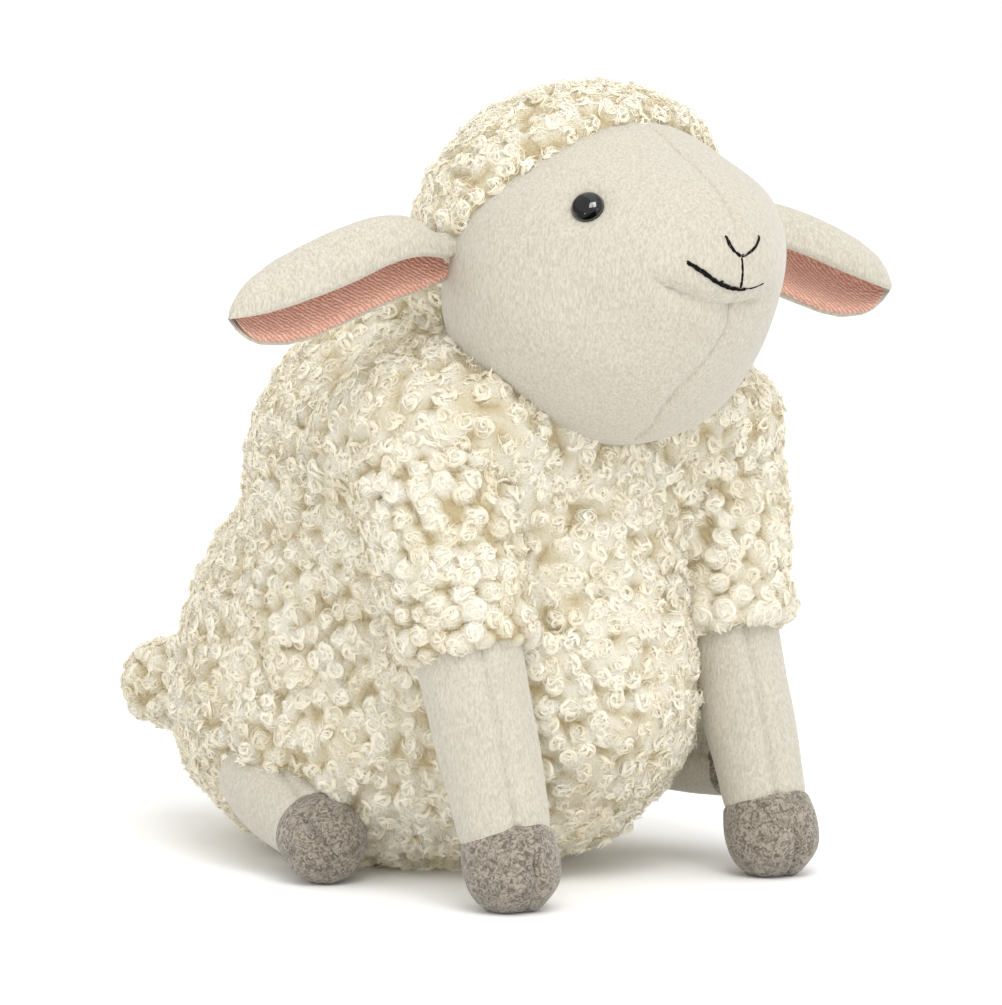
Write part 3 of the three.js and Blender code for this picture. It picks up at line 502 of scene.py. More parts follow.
# For each kind: locks a tuft, fibres a lock, the lock's half width and half height, a fibre's half width
bundles = [
    (swirl, 2, 15, 0.74, 0.42, 0.105),
    (comb, 1, 13, 0.8, 0.34, 0.105),
    (hook, 1, 8, 0.36, 0.3, 0.09),
    (fuzz, 18, 1, 0.3, 0.2, 0.12),
    (stray, 2, 1, 0.3, 0.3, 0.07),
]


# A tuft's reach as a share of the spacing, and how high over the floor skins and curls end
tuft_share = 0.79
skin_floor, curl_floor = 0.3, 0.25


def grow_fleece(name, points, faces, seed, body, allowed, fade=None, tuft=4.8, high=3.1, most=9500):
    """A skin of soft tufts and, over it, locks of fine fibres that curl round them. Returns the skin."""
    rng = np.random.default_rng(seed)
    triangles = faces
    if faces.shape[1] == 4:
        triangles = np.vstack([faces[:, [0, 1, 2]], faces[:, [0, 2, 3]]])
    centres, normals = spread(points, triangles, tuft, seed, allowed)
    relief = tuft_relief(centres, seed, high, tuft * tuft_share)
    surface = BVHTree.FromPolygons(points.tolist(), triangles.tolist())
    corner = points[triangles]
    across = np.cross(corner[:, 1] - corner[:, 0], corner[:, 2] - corner[:, 0])
    outward = np.zeros_like(points)
    for k in range(3):
        np.add.at(outward, triangles[:, k], across)
    rise = relief(points)
    if fade is not None:
        rise = rise * fade
    skin_points = points + unit(outward) * rise[:, None]
    skin_points[:, 2] = np.maximum(skin_points[:, 2], skin_floor)
    # The skin's tone is painted shade: the cloth is coloured darker the lower it lies between the tufts.
    skin = make_piece(name, skin_points, faces, fleece_ground, body, "fleece", np.clip(rise / high, 0, 1))

    fibre_total = sum(count * each for _, count, each, *_ in bundles)
    order = np.argsort(centres[:, 2] + centres[:, 1] * 0.3)
    groups = np.array_split(order, max(1, math.ceil(len(order) * fibre_total / most)))
    for number, group in enumerate(groups):
        parts, start = [], 0
        for kind, count, each, wide, over, thick in bundles:
            middles = np.repeat(centres[group], count, axis=0)
            outs = np.repeat(normals[group], count, axis=0)
            locks = lock_paths(middles, outs, surface, relief, rng, 8, kind)
            part = fibres(*locks, rng, each, wide, over, thick, high * 1.15)
            parts.append((part[0], part[1] + start, part[2], part[3]))
            start += len(part[0])
        curl_points = np.vstack([part[0] for part in parts])
        curl_points[:, 2] = np.maximum(curl_points[:, 2], curl_floor)
        curl_faces = np.vstack([part[1] for part in parts])
        tone = np.concatenate([part[2] for part in parts])
        facing = np.vstack([part[3] for part in parts])
        label = f"{name}_curls_{number + 1}"
        make_piece(label, curl_points, curl_faces, fleece_curls, body, "fleece", tone, facing)
    return skin


# Forms that the body's curls keep out of: the head and the leg sleeves
head_middle = np.array([0.0, -92.0, 183.0])
head_reach = 80
face_field = soft_field([((0, 0, 0), (108, 100, 95)), ((0, -29, 9), (62, 56, 50))], 12)
seat_field = soft_field([((0, 0, 0), (98.6, 98.6, 98.6))], 1)


def head_field(points):
    return np.minimum(face_field(points - head_middle), seat_field(points - head_middle))


def capsule_depth(points, start, end, radius_start, radius_end):
    """How far outside a round-ended rod points lie, in millimetres."""
    start, end = np.array(start, float), np.array(end, float)
    way = end - start
    share = np.clip((points - start) @ way / (way @ way), 0, 1)
    nearest = start + share[:, None] * way
    radius = radius_start + (radius_end - radius_start) * share
    return np.linalg.norm(points - nearest, axis=1) - radius


def sleeve_depth(points, side):
    return capsule_depth(points, (side * 52, -70, 124), (side * 51.8, -86, 74), 23, 20)


def body_open(points):
    """Where the body's curls grow: off the floor, just under the head and deeper under the sleeves."""
    free = head_field(points) > -2.5
    for side in (1, -1):
        free &= sleeve_depth(points, side) > -6
    return free & (points[:, 2] > 2.0)


# The cloth rises to a collar round the head
body_reach = 180
collar_width, collar_rise = 16, 3.2
skin_points = star_surface(body_field, body_centre, directions, body_reach, skin_depth)
collar = smooth_step(1 - head_field(skin_points) / collar_width)
collar_depth = skin_depth - collar_rise * collar
skin_points = star_surface(body_field, body_centre, directions, body_reach, collar_depth)
skin_points += directions * waves(skin_points, 26, 3)[:, None]
body_skin = grow_fleece("body_fleece", skin_points, ball_faces, 11, "body", body_open)
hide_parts("body_cover", "body_stuffing", "seat_pouch")

# The neck: a plug of loose white fibre, packed between body and head.
# It stands inside the fleece's collar, and the head covers its top.

fibre_material, nodes, links, shader = new_material("fibre_fill")
grain = add_grain(nodes, 700, linear(226, 224, 216), linear(250, 249, 244), Detail=4)
links.new(grain.outputs["Colour"], shader.inputs["Base Color"])
shader.inputs["Roughness"].default_value = 1
add_bump(nodes, links, shader, grain.outputs["Height"], 0.6, 0.001)


def smooth_profile(knots, count):
    """A smooth curve through [radius, distance] knots, sampled evenly by knot."""
    knots = np.array(knots, float)
    padded = np.vstack([2 * knots[0] - knots[1], knots, 2 * knots[-1] - knots[-2]])
    t = np.linspace(0, len(knots) - 1, count)
    i = np.minimum(t.astype(int), len(knots) - 2)
    f = (t - i)[:, None]
    p0, p1, p2, p3 = (padded[i + k] for k in range(4))
    bend, twist = 2 * p0 - 5 * p1 + 4 * p2 - p3, 3 * p1 - p0 - 3 * p2 + p3
    return 0.5 * (2 * p1 + (p2 - p0) * f + bend * f ** 2 + twist * f ** 3)


def revolved(profile, sides):
    """Points, faces, angles and distances of a limb turned about its own -Z from [radius, distance] rows."""
    angles = np.arange(sides) * 2 * math.pi / sides
    radius, along = np.maximum(profile[:, 0], 0.02), profile[:, 1]
    wide = radius[:, None]
    points = np.stack([wide * np.cos(angles), wide * np.sin(angles), -along[:, None] * np.ones(sides)], axis=-1)
    rows = len(profile)
    row = np.arange(rows - 1)[:, None] * sides
    corner = np.arange(sides)[None, :]
    following = (corner + 1) % sides
    below = row + sides
    faces = np.stack([row + corner, below + corner, below + following, row + following], axis=-1)
    first = np.arange(sides // 2 - 1)
    start_cap = np.stack([first, first + 1, sides - 2 - first, sides - 1 - first], axis=-1)
    end_cap = start_cap[:, ::-1] + (rows - 1) * sides
    closed = np.vstack([faces.reshape(-1, 4), start_cap, end_cap])
    return points.reshape(-1, 3), closed, np.tile(angles, rows), np.repeat(along, sides)


plug_profile = smooth_profile([[0, 0], [11, 0.5], [12.7, 4], [12.7, 22], [11, 27], [0, 25]], 30)
plug_points, plug_faces, _, _ = revolved(plug_profile, 32)
plug_points += np.array([0, -78, 136])
neck_fill = make_piece("neck_fill", plug_points, plug_faces, fibre_material, "neck", "fibre")
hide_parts("neck_stuffing")

# The face: short-napped beige velour over a firm, almost round ball with a low muzzle.
# A seam runs down its middle, a crease is sewn in at the chin, and each eye pulls in a dimple.


def velour_material(name, dark, light, nap=1300.0, depth=0.0004):
    material, nodes, links, shader = new_material(name)
    strokes = (1.15, 1.15, 0.42)
    fine = add_grain(nodes, nap, dark, light, Low=0.35, High=0.62, Detail=2, Distortion=0.7, Stretch=strokes)
    brushed = add_grain(nodes, 300, Detail=2, Roughness=0.5, Distortion=0.5, Stretch=(1.1, 1.1, 0.6))
    pile = nodes.new("ShaderNodeMath")
    pile.operation = "MULTIPLY_ADD"
    links.new(fine.outputs["Height"], pile.inputs[0])
    pile.inputs[1].default_value = 0.45
    links.new(brushed.outputs["Height"], pile.inputs[2])
    links.new(fine.outputs["Colour"], shader.inputs["Base Color"])
    shader.inputs["Roughness"].default_value = 0.95
    shader.inputs["Specular IOR Level"].default_value = 0.15
    shader.inputs["Sheen Weight"].default_value = 0.35
    shader.inputs["Sheen Roughness"].default_value = 0.45
    add_bump(nodes, links, shader, pile.outputs[0], 1.0, depth)
    return material


velour = velour_material("velour_beige", linear(179, 173, 158), linear(199, 193, 179))


def groove(distance, width):
    return np.exp(-(distance / width) ** 2)


# The face's left side, which the photo shows in outline: a hollow cheek and a full brow, each by
# its place from the head's middle, its depth and its width
face_hollows = [((35, -33, -14), 4.2, 17), ((31, -30, 25), -0.9, 9)]


def face_lines(points):
    """How deep the face is drawn in, in millimetres, by its seam, its chin crease and its eyes."""
    local = points - head_middle
    x, z = local[:, 0], local[:, 2]
    seam = x - seam_side(z)
    pucker = 1 + 0.35 * np.sin(z * 1.9) * np.sin(z * 0.63 + 1)
    depth = 0.75 * groove(seam, 0.42) * pucker + 0.5 * groove(seam, 2.4)
    under_stitches = smooth_step((z + 4) / 4) * smooth_step((18 - z) / 4)
    depth *= smooth_step((-15 - local[:, 1]) / 4) * (1 - 0.7 * under_stitches)
    fold = z - crease_rise(x)
    along = smooth_step((25 - np.abs(x + 6)) / 12) * (local[:, 1] < -30)
    crease = 1.1 * groove(fold, 0.5) * (1 + 0.35 * np.sin(x * 2.3)) + 1.7 * groove(fold + 0.8, 3.0)
    depth += (crease - 0.7 * groove(fold - 4.5, 4)) * along
    for hollow_at, hollow, width in face_hollows:
        depth += hollow * groove(np.linalg.norm(local - np.array(hollow_at), axis=1), width)
    for eye, dimple in zip(eye_middles, eye_dimples):
        away = np.linalg.norm(local - eye, axis=1)
        depth += dimple * groove(away, 6.4) - 0.3 * groove(away - 10, 3)
    return depth


def drawn_to(value, middle, reach, power):
    """Moves values near a middle closer to it, so that a mesh is finest there."""
    away = (value - middle) / reach
    closer = np.sign(away) * np.abs(away) ** power
    return np.where(np.abs(away) < 1, middle + closer * reach, value)


def seam_side(rise):
    """How far to the left the face's seam runs at a rise over the head's middle, in millimetres."""
    rises = [-44, -36, -30, -22, -13, -5, 5, 30, 45]
    return np.interp(rise, rises, [-6, -8.2, -7.6, -2.5, 0.6, 0, 0, -0.8, 0])


def crease_rise(x):
    """How high the chin's crease lies over the head's middle, from side to side, in millimetres."""
    places = [-30, -22.7, -14.6, -8, -3.1, 3, 8.5, 16]
    return np.interp(x, places, [4.5, 1.2, -2.1, -4.2, -5.0, -4.8, -3.9, -1])


def eye_middle(x, forward, rise):
    way = unit(np.array([x, -forward, rise], float))
    return star_surface(head_field, head_middle, way[None, :], head_reach, 0)[0] - head_middle


eye_middles = [eye_middle(35, 19, 24), eye_middle(-35, 29, 24)]
eye_dimples = [2.7, 1.8]
face_ways = directions.copy()
in_front = smooth_step((-0.15 - face_ways[:, 1]) / 0.2)
crease_at = crease_rise(face_ways[:, 0] * 57) / 57
face_ways[:, 2] += in_front * (drawn_to(face_ways[:, 2], crease_at, 0.3, 1.5) - face_ways[:, 2])
seam_at = seam_side(face_ways[:, 2] * 53) / 53
face_ways[:, 0] += in_front * (drawn_to(face_ways[:, 0], seam_at, 0.3, 1.7) - face_ways[:, 0])
face_ways = unit(face_ways)
face_points = star_surface(head_field, head_middle, face_ways, head_reach, 0)
face_points -= face_ways * face_lines(face_points)[:, None]
face_points += face_ways * (waves(face_points, 34, 8) * 0.3)[:, None]
head_face = make_piece("head_face", face_points, ball_faces, velour, "head", "velour")
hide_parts("head_cover", "head_stuffing")

# The eyes: polished black plastic domes that the velour's dimples take in a little.
# A pale washer inside the head holds each one. The washers are the frame's own solids.


def slope(field, points, step=0.4):
    """The outward direction of a form at points."""
    out = np.zeros_like(points)
    for axis in range(3):
        move = np.zeros(3)
        move[axis] = step
        out[:, axis] = field(points + move) - field(points - move)
    return out / np.maximum(np.linalg.norm(out, axis=1), 1e-9)[:, None]


def limb_frame(at, along, hinge):
    """The frame of a limb: its hinge along X and the limb along -Z, as 3 columns and the place."""
    down = unit(np.array(along, float))
    across = np.array(hinge, float) - down * (np.array(hinge, float) @ down)
    across = unit(across)
    up = -down
    return np.stack([across, np.cross(up, across), up], axis=1), np.array(at, float)


def placed(points, limb):
    return points @ limb[0].T + limb[1]


gloss_black, nodes, links, shader = new_material("eye_black")
grain = add_grain(nodes, 90, (0.0022, 0.002, 0.002, 1), (0.004, 0.0035, 0.0035, 1), Detail=2)
links.new(grain.outputs["Colour"], shader.inputs["Base Color"])
shader.inputs["Roughness"].default_value = 0.06
shader.inputs["Coat Weight"].default_value = 1
shader.inputs["Coat IOR"].default_value = 1.85
shader.inputs["Specular IOR Level"].default_value = 0.15
shader.inputs["Coat Roughness"].default_value = 0.03

dome = [[0, -2.1], [1.6, -2.0], [3.1, -1.55], [4.2, -0.8], [4.85, 0.3], [4.95, 1.1], [4.3, 1.9], [0, 2.3]]
eye_lift = 1.8
for word, middle, dimple in zip(("left", "right"), eye_middles, eye_dimples):
    outward = slope(head_field, (middle + head_middle)[None, :])[0]
    limb = limb_frame(middle + head_middle - outward * (dimple - eye_lift), -outward, (0.3, 0.2, 1))
    dome_points, dome_faces, _, _ = revolved(smooth_profile(dome, 40), 64)
    dome_points = placed(dome_points, limb)
    eye = make_piece(f"eye_dome_{word}", dome_points, dome_faces, gloss_black, "head", "eye_gloss")
    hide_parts(f"eye_{word}")

washer_plastic, nodes, links, shader = new_material("washer_plastic")
grain = add_grain(nodes, 300, linear(224, 224, 220), linear(240, 240, 237), Detail=2)
links.new(grain.outputs["Colour"], shader.inputs["Base Color"])
shader.inputs["Roughness"].default_value = 0.4
for word in ("left", "right"):
    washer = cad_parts[f"eye_washer_{word}"]
    washer.data.materials.clear()
    washer.data.materials.append(washer_plastic)

# Nose and mouth: long stitches of near-black embroidery thread, each of a few twisted strands.
# They lie on the velour and go in at both ends.

thread_black, nodes, links, shader = new_material("thread_black")
grain = add_grain(nodes, 1500, linear(12, 10, 10), linear(30, 27, 27), Detail=2)
links.new(grain.outputs["Colour"], shader.inputs["Base Color"])
shader.inputs["Roughness"].default_value = 0.7
shader.inputs["Specular IOR Level"].default_value = 0.25


def tubes(paths, radii, sides=3):
    """Thin tubes round paths (N, steps, 3) with radii (N, steps), as points and four-cornered faces."""
    count, steps, _ = paths.shape
    along = unit(np.gradient(paths, axis=1))
    helper = np.broadcast_to(np.array([0.31, 0.57, 0.76]), along.shape)
    side = unit(np.cross(along, helper))
    other = np.cross(along, side)
    angles = np.arange(sides) * 2 * math.pi / sides
    turn = angles[None, None, :, None]
    ring = side[:, :, None, :] * np.cos(turn) + other[:, :, None, :] * np.sin(turn)
    points = paths[:, :, None, :] + ring * radii[:, :, None, None]
    return points.reshape(-1, 3), ring_faces(count, steps, sides)


def ring_faces(count, steps, sides):
    """Four-cornered faces of tubes whose points are stored tube by tube, ring by ring."""
    base = np.arange(count)[:, None, None] * steps * sides
    step = np.arange(steps - 1)[None, :, None] * sides
    corner = np.arange(sides)[None, None, :]
    following = (corner + 1) % sides
    near, far = base + step, base + step + sides
    corners = [near + corner, near + following, far + following, far + corner]
    return np.stack(corners, axis=-1).reshape(-1, 4)


def on_face(x, rise):
    way = unit(np.array([x, -55.0, rise]))
    point = star_surface(head_field, head_middle, way[None, :], head_reach, 0)
    return point[0] - way * face_lines(point)[0]


def stitch(knots, wide, strands, strand, seed):
    """A long stitch of loosely twisted strands through places on the face, in at both ends."""
    rng = np.random.default_rng(seed)
    line = smooth_profile(knots, 34)
    t = np.linspace(0, 1, 34)
    spots = np.array([on_face(x, rise) for x, rise in line])
    out = slope(head_field, spots)
    ends = (np.abs(t - 0.5) * 2)[:, None] ** 16
    spots = spots + out * (0.35 + wide * 0.35 - 1.5 * ends)
    along = unit(np.gradient(spots, axis=0))
    side = np.cross(along, out)
    length = np.linalg.norm(np.diff(spots, axis=0), axis=1).sum()
    paths = []
    for k in range(strands):
        wander = 0.8 * np.sin(t * length * rng.uniform(0.5, 0.9) + rng.uniform(0, 6))
        angle = (2 * math.pi * (t * length / 9 + k / strands) + wander)[:, None]
        loose = 1 + 0.25 * np.sin(t * length * rng.uniform(0.6, 1.4) + rng.uniform(0, 6))
        reach = (wide - strand) * loose[:, None]
        paths.append(spots + reach * (side * np.cos(angle) + out * 0.6 * np.sin(angle)))
    thickness = np.tile(strand * (1 + 0.18 * np.sin(t * length * 2.2)), (strands, 1))
    return tubes(np.array(paths), thickness, sides=6)


def joined_tubes(parts):
    points, faces, start = [], [], 0
    for some_points, some_faces in parts:
        points.append(some_points)
        faces.append(some_faces + start)
        start += len(some_points)
    return np.vstack(points), np.vstack(faces)


nose_parts = [
    stitch([(-5.5, 15.3), (-4.6, 12.7), (-3.0, 10.4), (-0.4, 8.8)], 0.52, 4, 0.2, 1),
    stitch([(7.9, 15.3), (6.1, 12.7), (3.9, 10.9), (1.4, 9.6), (-1.0, 8.9)], 0.46, 4, 0.19, 2),
    stitch([(-0.8, 9.2), (-0.2, 6.3), (0.0, 3.8), (-0.2, 1.7), (-0.5, 0.0)], 0.46, 4, 0.2, 3),
]
nose = make_piece("nose_thread", *joined_tubes(nose_parts), thread_black, "head", "thread")
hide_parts("nose_stitch")
mouth_parts = [
    stitch([(-18.9, 8.7), (-14.5, 5.8), (-10.7, 3.2), (-7.2, 1.5), (-3.8, 0.4), (-1.0, 0.1)], 0.68, 6, 0.24, 4),
    stitch([(-16.4, 7.4), (-12.5, 4.7), (-9.4, 2.4), (-6.4, 1.8)], 0.72, 2, 0.2, 5),
    stitch([(-2.6, 0.3), (-0.4, -0.2), (1.5, 0.1)], 0.5, 4, 0.2, 6),
    stitch([(1.0, 0.0), (3.7, 0.1), (6.2, 0.6), (9.8, 1.6)], 0.2, 2, 0.13, 7),
]
mouth = make_piece("mouth_thread", *joined_tubes(mouth_parts), thread_black, "head", "thread")
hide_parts("mouth_stitch")

# The cap: a second piece of the curly fleece, sewn over the top and back of the head.
# Its edge curves from ear to ear over the forehead, and its curls end just short of the velour.

cap_field = soft_field([((0, 12, 6), (112, 112, 110))], 12)
cap_lean, cap_spread = math.radians(-54), math.radians(68.5)
cap_axis = np.array([0, -math.sin(cap_lean), math.cos(cap_lean)])
cap_reach, cap_depth, cap_hem = 90, 3.2, 4.5
skull_radius = 52


def cap_edge(way):
    """How far inside the cap's edge a direction from the skull's middle lies, in millimetres."""
    angle = np.arccos(np.clip(way @ cap_axis, -1, 1))
    return (cap_spread - angle) * skull_radius


edge_distance = cap_edge(directions)
inside_cap = edge_distance > -cap_hem
outer = star_surface(lambda p: cap_field(p - head_middle), head_middle, directions, cap_reach, cap_depth)
inner = star_surface(head_field, head_middle, directions, cap_reach, 0)
outer_radius = np.linalg.norm(outer - head_middle, axis=1)
inner_radius = np.linalg.norm(inner - head_middle, axis=1)
rise_share = np.sqrt(smooth_step(edge_distance / 5))
raised = inner_radius + 0.3 + (np.maximum(outer_radius, inner_radius + 2) - inner_radius) * rise_share
cap_radius = np.where(edge_distance > 0, raised, inner_radius - 1.2)
cap_points = head_middle + directions * cap_radius[:, None]
cap_faces = ball_faces[inside_cap[ball_faces].all(axis=1)]
used, cap_faces = np.unique(cap_faces, return_inverse=True)
cap_faces = cap_faces.reshape(-1, 3)
cap_points = cap_points[used]


def cap_open(points):
    return (points[:, 2] > head_middle[2] - 22) & (cap_edge(unit(points - head_middle)) > 0.2)


edge_fade = smooth_step(0.3 + edge_distance[used] / 3) * (edge_distance[used] > 0)
cap_skin = grow_fleece("cap_fleece", cap_points, cap_faces, 21, "head", cap_open, edge_fade, tuft=4.4, high=2.5)
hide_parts("head_cap")

# The ears: leaves folded along their length, velour outside and a pink ribbed lining in the fold.
# The velour is rolled over at the rim, and the ear's root is sewn in at the cap's edge.

pink_lining, nodes, links, shader = new_material("pink_lining")
place = nodes.new("ShaderNodeTexCoord")
ribs = nodes.new("ShaderNodeTexWave")
ribs.wave_type = "BANDS"
ribs.bands_direction = "DIAGONAL"
ribs.inputs["Scale"].default_value = 330
ribs.inputs["Distortion"].default_value = 5
ribs.inputs["Detail"].default_value = 3
ribs.inputs["Detail Scale"].default_value = 2.5
links.new(place.outputs["Object"], ribs.inputs["Vector"])
ramp = nodes.new("ShaderNodeValToRGB")
for stop, at, colour in zip(ramp.color_ramp.elements, (0.1, 0.8), ((196, 138, 116), (226, 178, 158))):
    stop.position = at
    stop.color = linear(*colour)
links.new(ribs.outputs["Fac"], ramp.inputs["Fac"])
links.new(ramp.outputs["Color"], shader.inputs["Base Color"])
shader.inputs["Roughness"].default_value = 0.95
shader.inputs["Sheen Weight"].default_value = 0.3
add_bump(nodes, links, shader, ribs.outputs["Fac"], 0.7, 0.0004)

ear_velour = velour_material("ear_velour", linear(178, 172, 156), linear(202, 196, 181))
ear_start, ear_length, ear_height, ear_arch = 5, 77, 28.8, 4
ear_droop = math.radians(12)
height_shares = [0.75, 0.87, 0.96, 0.99, 1.01, 1.0, 0.91, 0.7, 0.34]
fold_shares = np.array([[0.3, -0.02], [0.3, 0.22], [0.06, 0.47], [-0.2, 0.3], [-0.26, -0.06], [-0.06, -0.5]])


def fold_at(t):
    curve = smooth_profile(fold_shares, 401)
    way = np.gradient(curve, axis=0)
    rows = np.clip(np.round(t * 400), 0, 400).astype(int)
    return curve[rows], unit(way)[rows]


def ear_ring(side, height, grow, low_t, high_t, outer_depth, inner_depth, rim):
    """A closed ring through the ear's sheet, with round edges and a rim that is thicker than the rest."""
    t = np.linspace(low_t, high_t, 30)
    spot, way = fold_at(t)
    inward = np.stack([-way[:, 1], way[:, 0]], axis=1)
    share = (t - low_t) / (high_t - low_t)
    bulge = rim * np.exp(-(share / 0.07) ** 2)
    close = np.sqrt(np.clip(np.minimum(share, 1 - share) / 0.035, 0.02, 1))
    middle = (outer_depth + inner_depth) / 2
    half = (inner_depth - outer_depth) / 2 * grow * close + bulge * close
    out_row = spot * height + inward * (middle * grow - half)[:, None]
    in_row = spot * height + inward * (middle * grow + half)[:, None]
    loop = np.vstack([out_row, in_row[::-1]])
    return np.stack([side * loop[:, 0], loop[:, 1]], axis=1)


def ear_sheet(side, low_t, high_t, outer_depth, inner_depth, rim, start, stop, rows=46):
    """One layer of an ear, as rings from root to tip, as points and four-cornered faces."""
    rings = []
    for at in np.linspace(start, stop, rows):
        inside = np.clip(at, 0, 1)
        grow = float(np.interp(inside, np.linspace(0, 1, 9), height_shares))
        root = 1 - 0.35 * smooth_step((0.12 - at) / 0.2)
        grow *= math.sqrt(max(1 - max((at - 0.9 * stop) / (0.1 * stop), 0) ** 2, 0.01))
        height = ear_height * grow * root
        ring = ear_ring(side, height, grow, low_t, high_t, outer_depth, inner_depth, rim * grow)
        # The ear's back arches most a quarter of the way along
        arch = ear_arch * 256 / 27 * inside * (1 - inside) ** 3
        down = ear_start + ear_length * at
        rings.append(np.column_stack([ring[:, 0], ring[:, 1] + arch, np.full(len(ring), -down)]))
    count = len(rings[0])
    points = np.vstack(rings)
    row = np.arange(rows - 1)[:, None] * count
    corner = np.arange(count)[None, :]
    following = (corner + 1) % count
    below = row + count
    faces = np.stack([row + corner, row + following, below + following, below + corner], axis=-1)
    near = (rows - 1) * count + np.arange(count // 2 - 1)
    far = rows * count - 1 - np.arange(count // 2 - 1)
    caps = np.stack([near, near + 1, far - 1, far], axis=-1)
    return points, np.vstack([faces.reshape(-1, 4), caps])


for side, word in ((1, "left"), (-1, "right")):
    along = np.array([side * math.cos(ear_droop), 0, -math.sin(ear_droop)])
    limb = limb_frame(head_middle + np.array([side * 50, 17, 10 + 0.7 * side]), along, (0, -side, 0))
    points, faces = ear_sheet(side, 0, 1, 0, 2.2, 0.75, -0.14, 1.0)
    points[:, 1] += waves(points, 30, 31) * 0.3
    back = make_piece(f"ear_outside_{word}", placed(points, limb), faces, ear_velour, f"ear_{word}", "velour")
    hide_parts(f"ear_back_{word}")
    points, faces = ear_sheet(side, 0.05, 0.995, 1.9, 3.9, 0.1, -0.14, 0.97)
    points = placed(points, limb)
    lining = make_piece(f"ear_inside_{word}", points, faces, pink_lining, f"ear_{word}", "pink_lining")
    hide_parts(f"ear_lining_{word}")

# The front legs: firmly stuffed velour tubes, each with a seam down it, sewn in at the shoulder.
# A sleeve of curly fleece covers each one's top, and it ends in a taupe hoof with a sewn cleft.

hoof_nap, nodes, links, shader = new_material("hoof_nap")
hoof_dark, hoof_light = linear(100, 92, 80), linear(162, 152, 138)
worms = add_grain(
    nodes, 620, hoof_dark, hoof_light, Low=0.38, High=0.62, Detail=2, Roughness=0.5, Distortion=1.6)
links.new(worms.outputs["Colour"], shader.inputs["Base Color"])
shader.inputs["Roughness"].default_value = 0.95
shader.inputs["Sheen Weight"].default_value = 0.3
add_bump(nodes, links, shader, worms.outputs["Height"], 0.8, 0.0006)


def world_angle(limb, azimuth):
    """The angle about a limb's own axis that faces a compass direction, where 0 is -Y and positive is +X."""
    way = np.array([math.sin(azimuth), -math.cos(azimuth), 0.0])
    local = limb[0].T @ way
    return math.atan2(local[1], local[0])


def angle_gap(angles, middle):
    return np.abs((angles - middle + math.pi) % (2 * math.pi) - math.pi)


def seam_in(points, angles, along, middle, deep, wide, radius, start, stop):
    """Draws a limb's surface in along a seam line."""
    gap = angle_gap(angles, middle) * radius
    amount = deep * groove(gap, wide) * smooth_step((along - start) / 3) * smooth_step((stop - along) / 3)
    spread_radius = np.linalg.norm(points[:, :2], axis=1)
    factor = 1 - amount / np.maximum(spread_radius, 1)
    points[:, 0] *= factor
    points[:, 1] *= factor


hoof_lengths = [0, 0.3, 0.6, 0.82, 0.95, 1]
hoof_radii = [0.95, 1, 0.95, 0.74, 0.42, 0]


def hoof_knots(ankle, radius, start, length):
    """A hoof's outline from a little inside the leg's end to its tip, as [radius, distance] knots."""
    knots = [[ankle * 0.93, start - 1.5], [ankle * 1.0, start + 0.2]]
    for share, wide in list(zip(hoof_lengths, hoof_radii))[1:]:
        knots.append([radius * wide, start + length * share])
    return knots


def add_hoof(name, node, limb, ankle, radius, start, length, body, cleft_azimuth):
    """A hoof on a limb's end, flat where it meets the floor, with its cleft at an azimuth."""
    profile = smooth_profile(hoof_knots(ankle, radius, start, length), 70)
    points, faces, angles, along = revolved(profile, 96)
    middle = world_angle(limb, cleft_azimuth)
    seam_in(points, angles, along, middle, 1.6, 0.8, radius, start + length * 0.3, start + length * 1.3)
    seam_in(points, angles, along, middle, 1.2, 2.6, radius, start + length * 0.35, start + length * 1.3)
    out = points / np.maximum(np.linalg.norm(points, axis=1), 1)[:, None]
    points += out * (waves(points, 9, 41) * 0.25)[:, None]
    points = placed(points, limb)
    points[:, 2] = np.maximum(points[:, 2], skin_floor)
    hoof = make_piece(name, points, faces, hoof_nap, body, "hoof_fabric")
    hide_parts(node)


def add_velour_leg(name, nodes_replaced, limb, knots, seam_azimuth, body, start, stop, radius):
    """A velour leg of a given outline, with a puckered seam along it from start to stop."""
    points, faces, angles, along = revolved(smooth_profile(knots, 90), 96)
    middle = world_angle(limb, seam_azimuth)
    seam_in(points, angles, along, middle, 0.9, 0.7, radius, start, stop)
    seam_in(points, angles, along, middle, 0.6, 2.5, radius, start, stop)
    puckers = np.sin(along * 2.1 + 1) * groove(angle_gap(angles, middle) * radius, 3.5) * 0.18
    swell = waves(points, 26, 43) * 0.35 + puckers
    ring = np.linalg.norm(points[:, :2], axis=1)
    points[:, :2] *= (1 + swell / np.maximum(ring, 1))[:, None]
    leg = make_piece(name, placed(points, limb), faces, velour, body, "velour")
    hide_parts(*nodes_replaced)


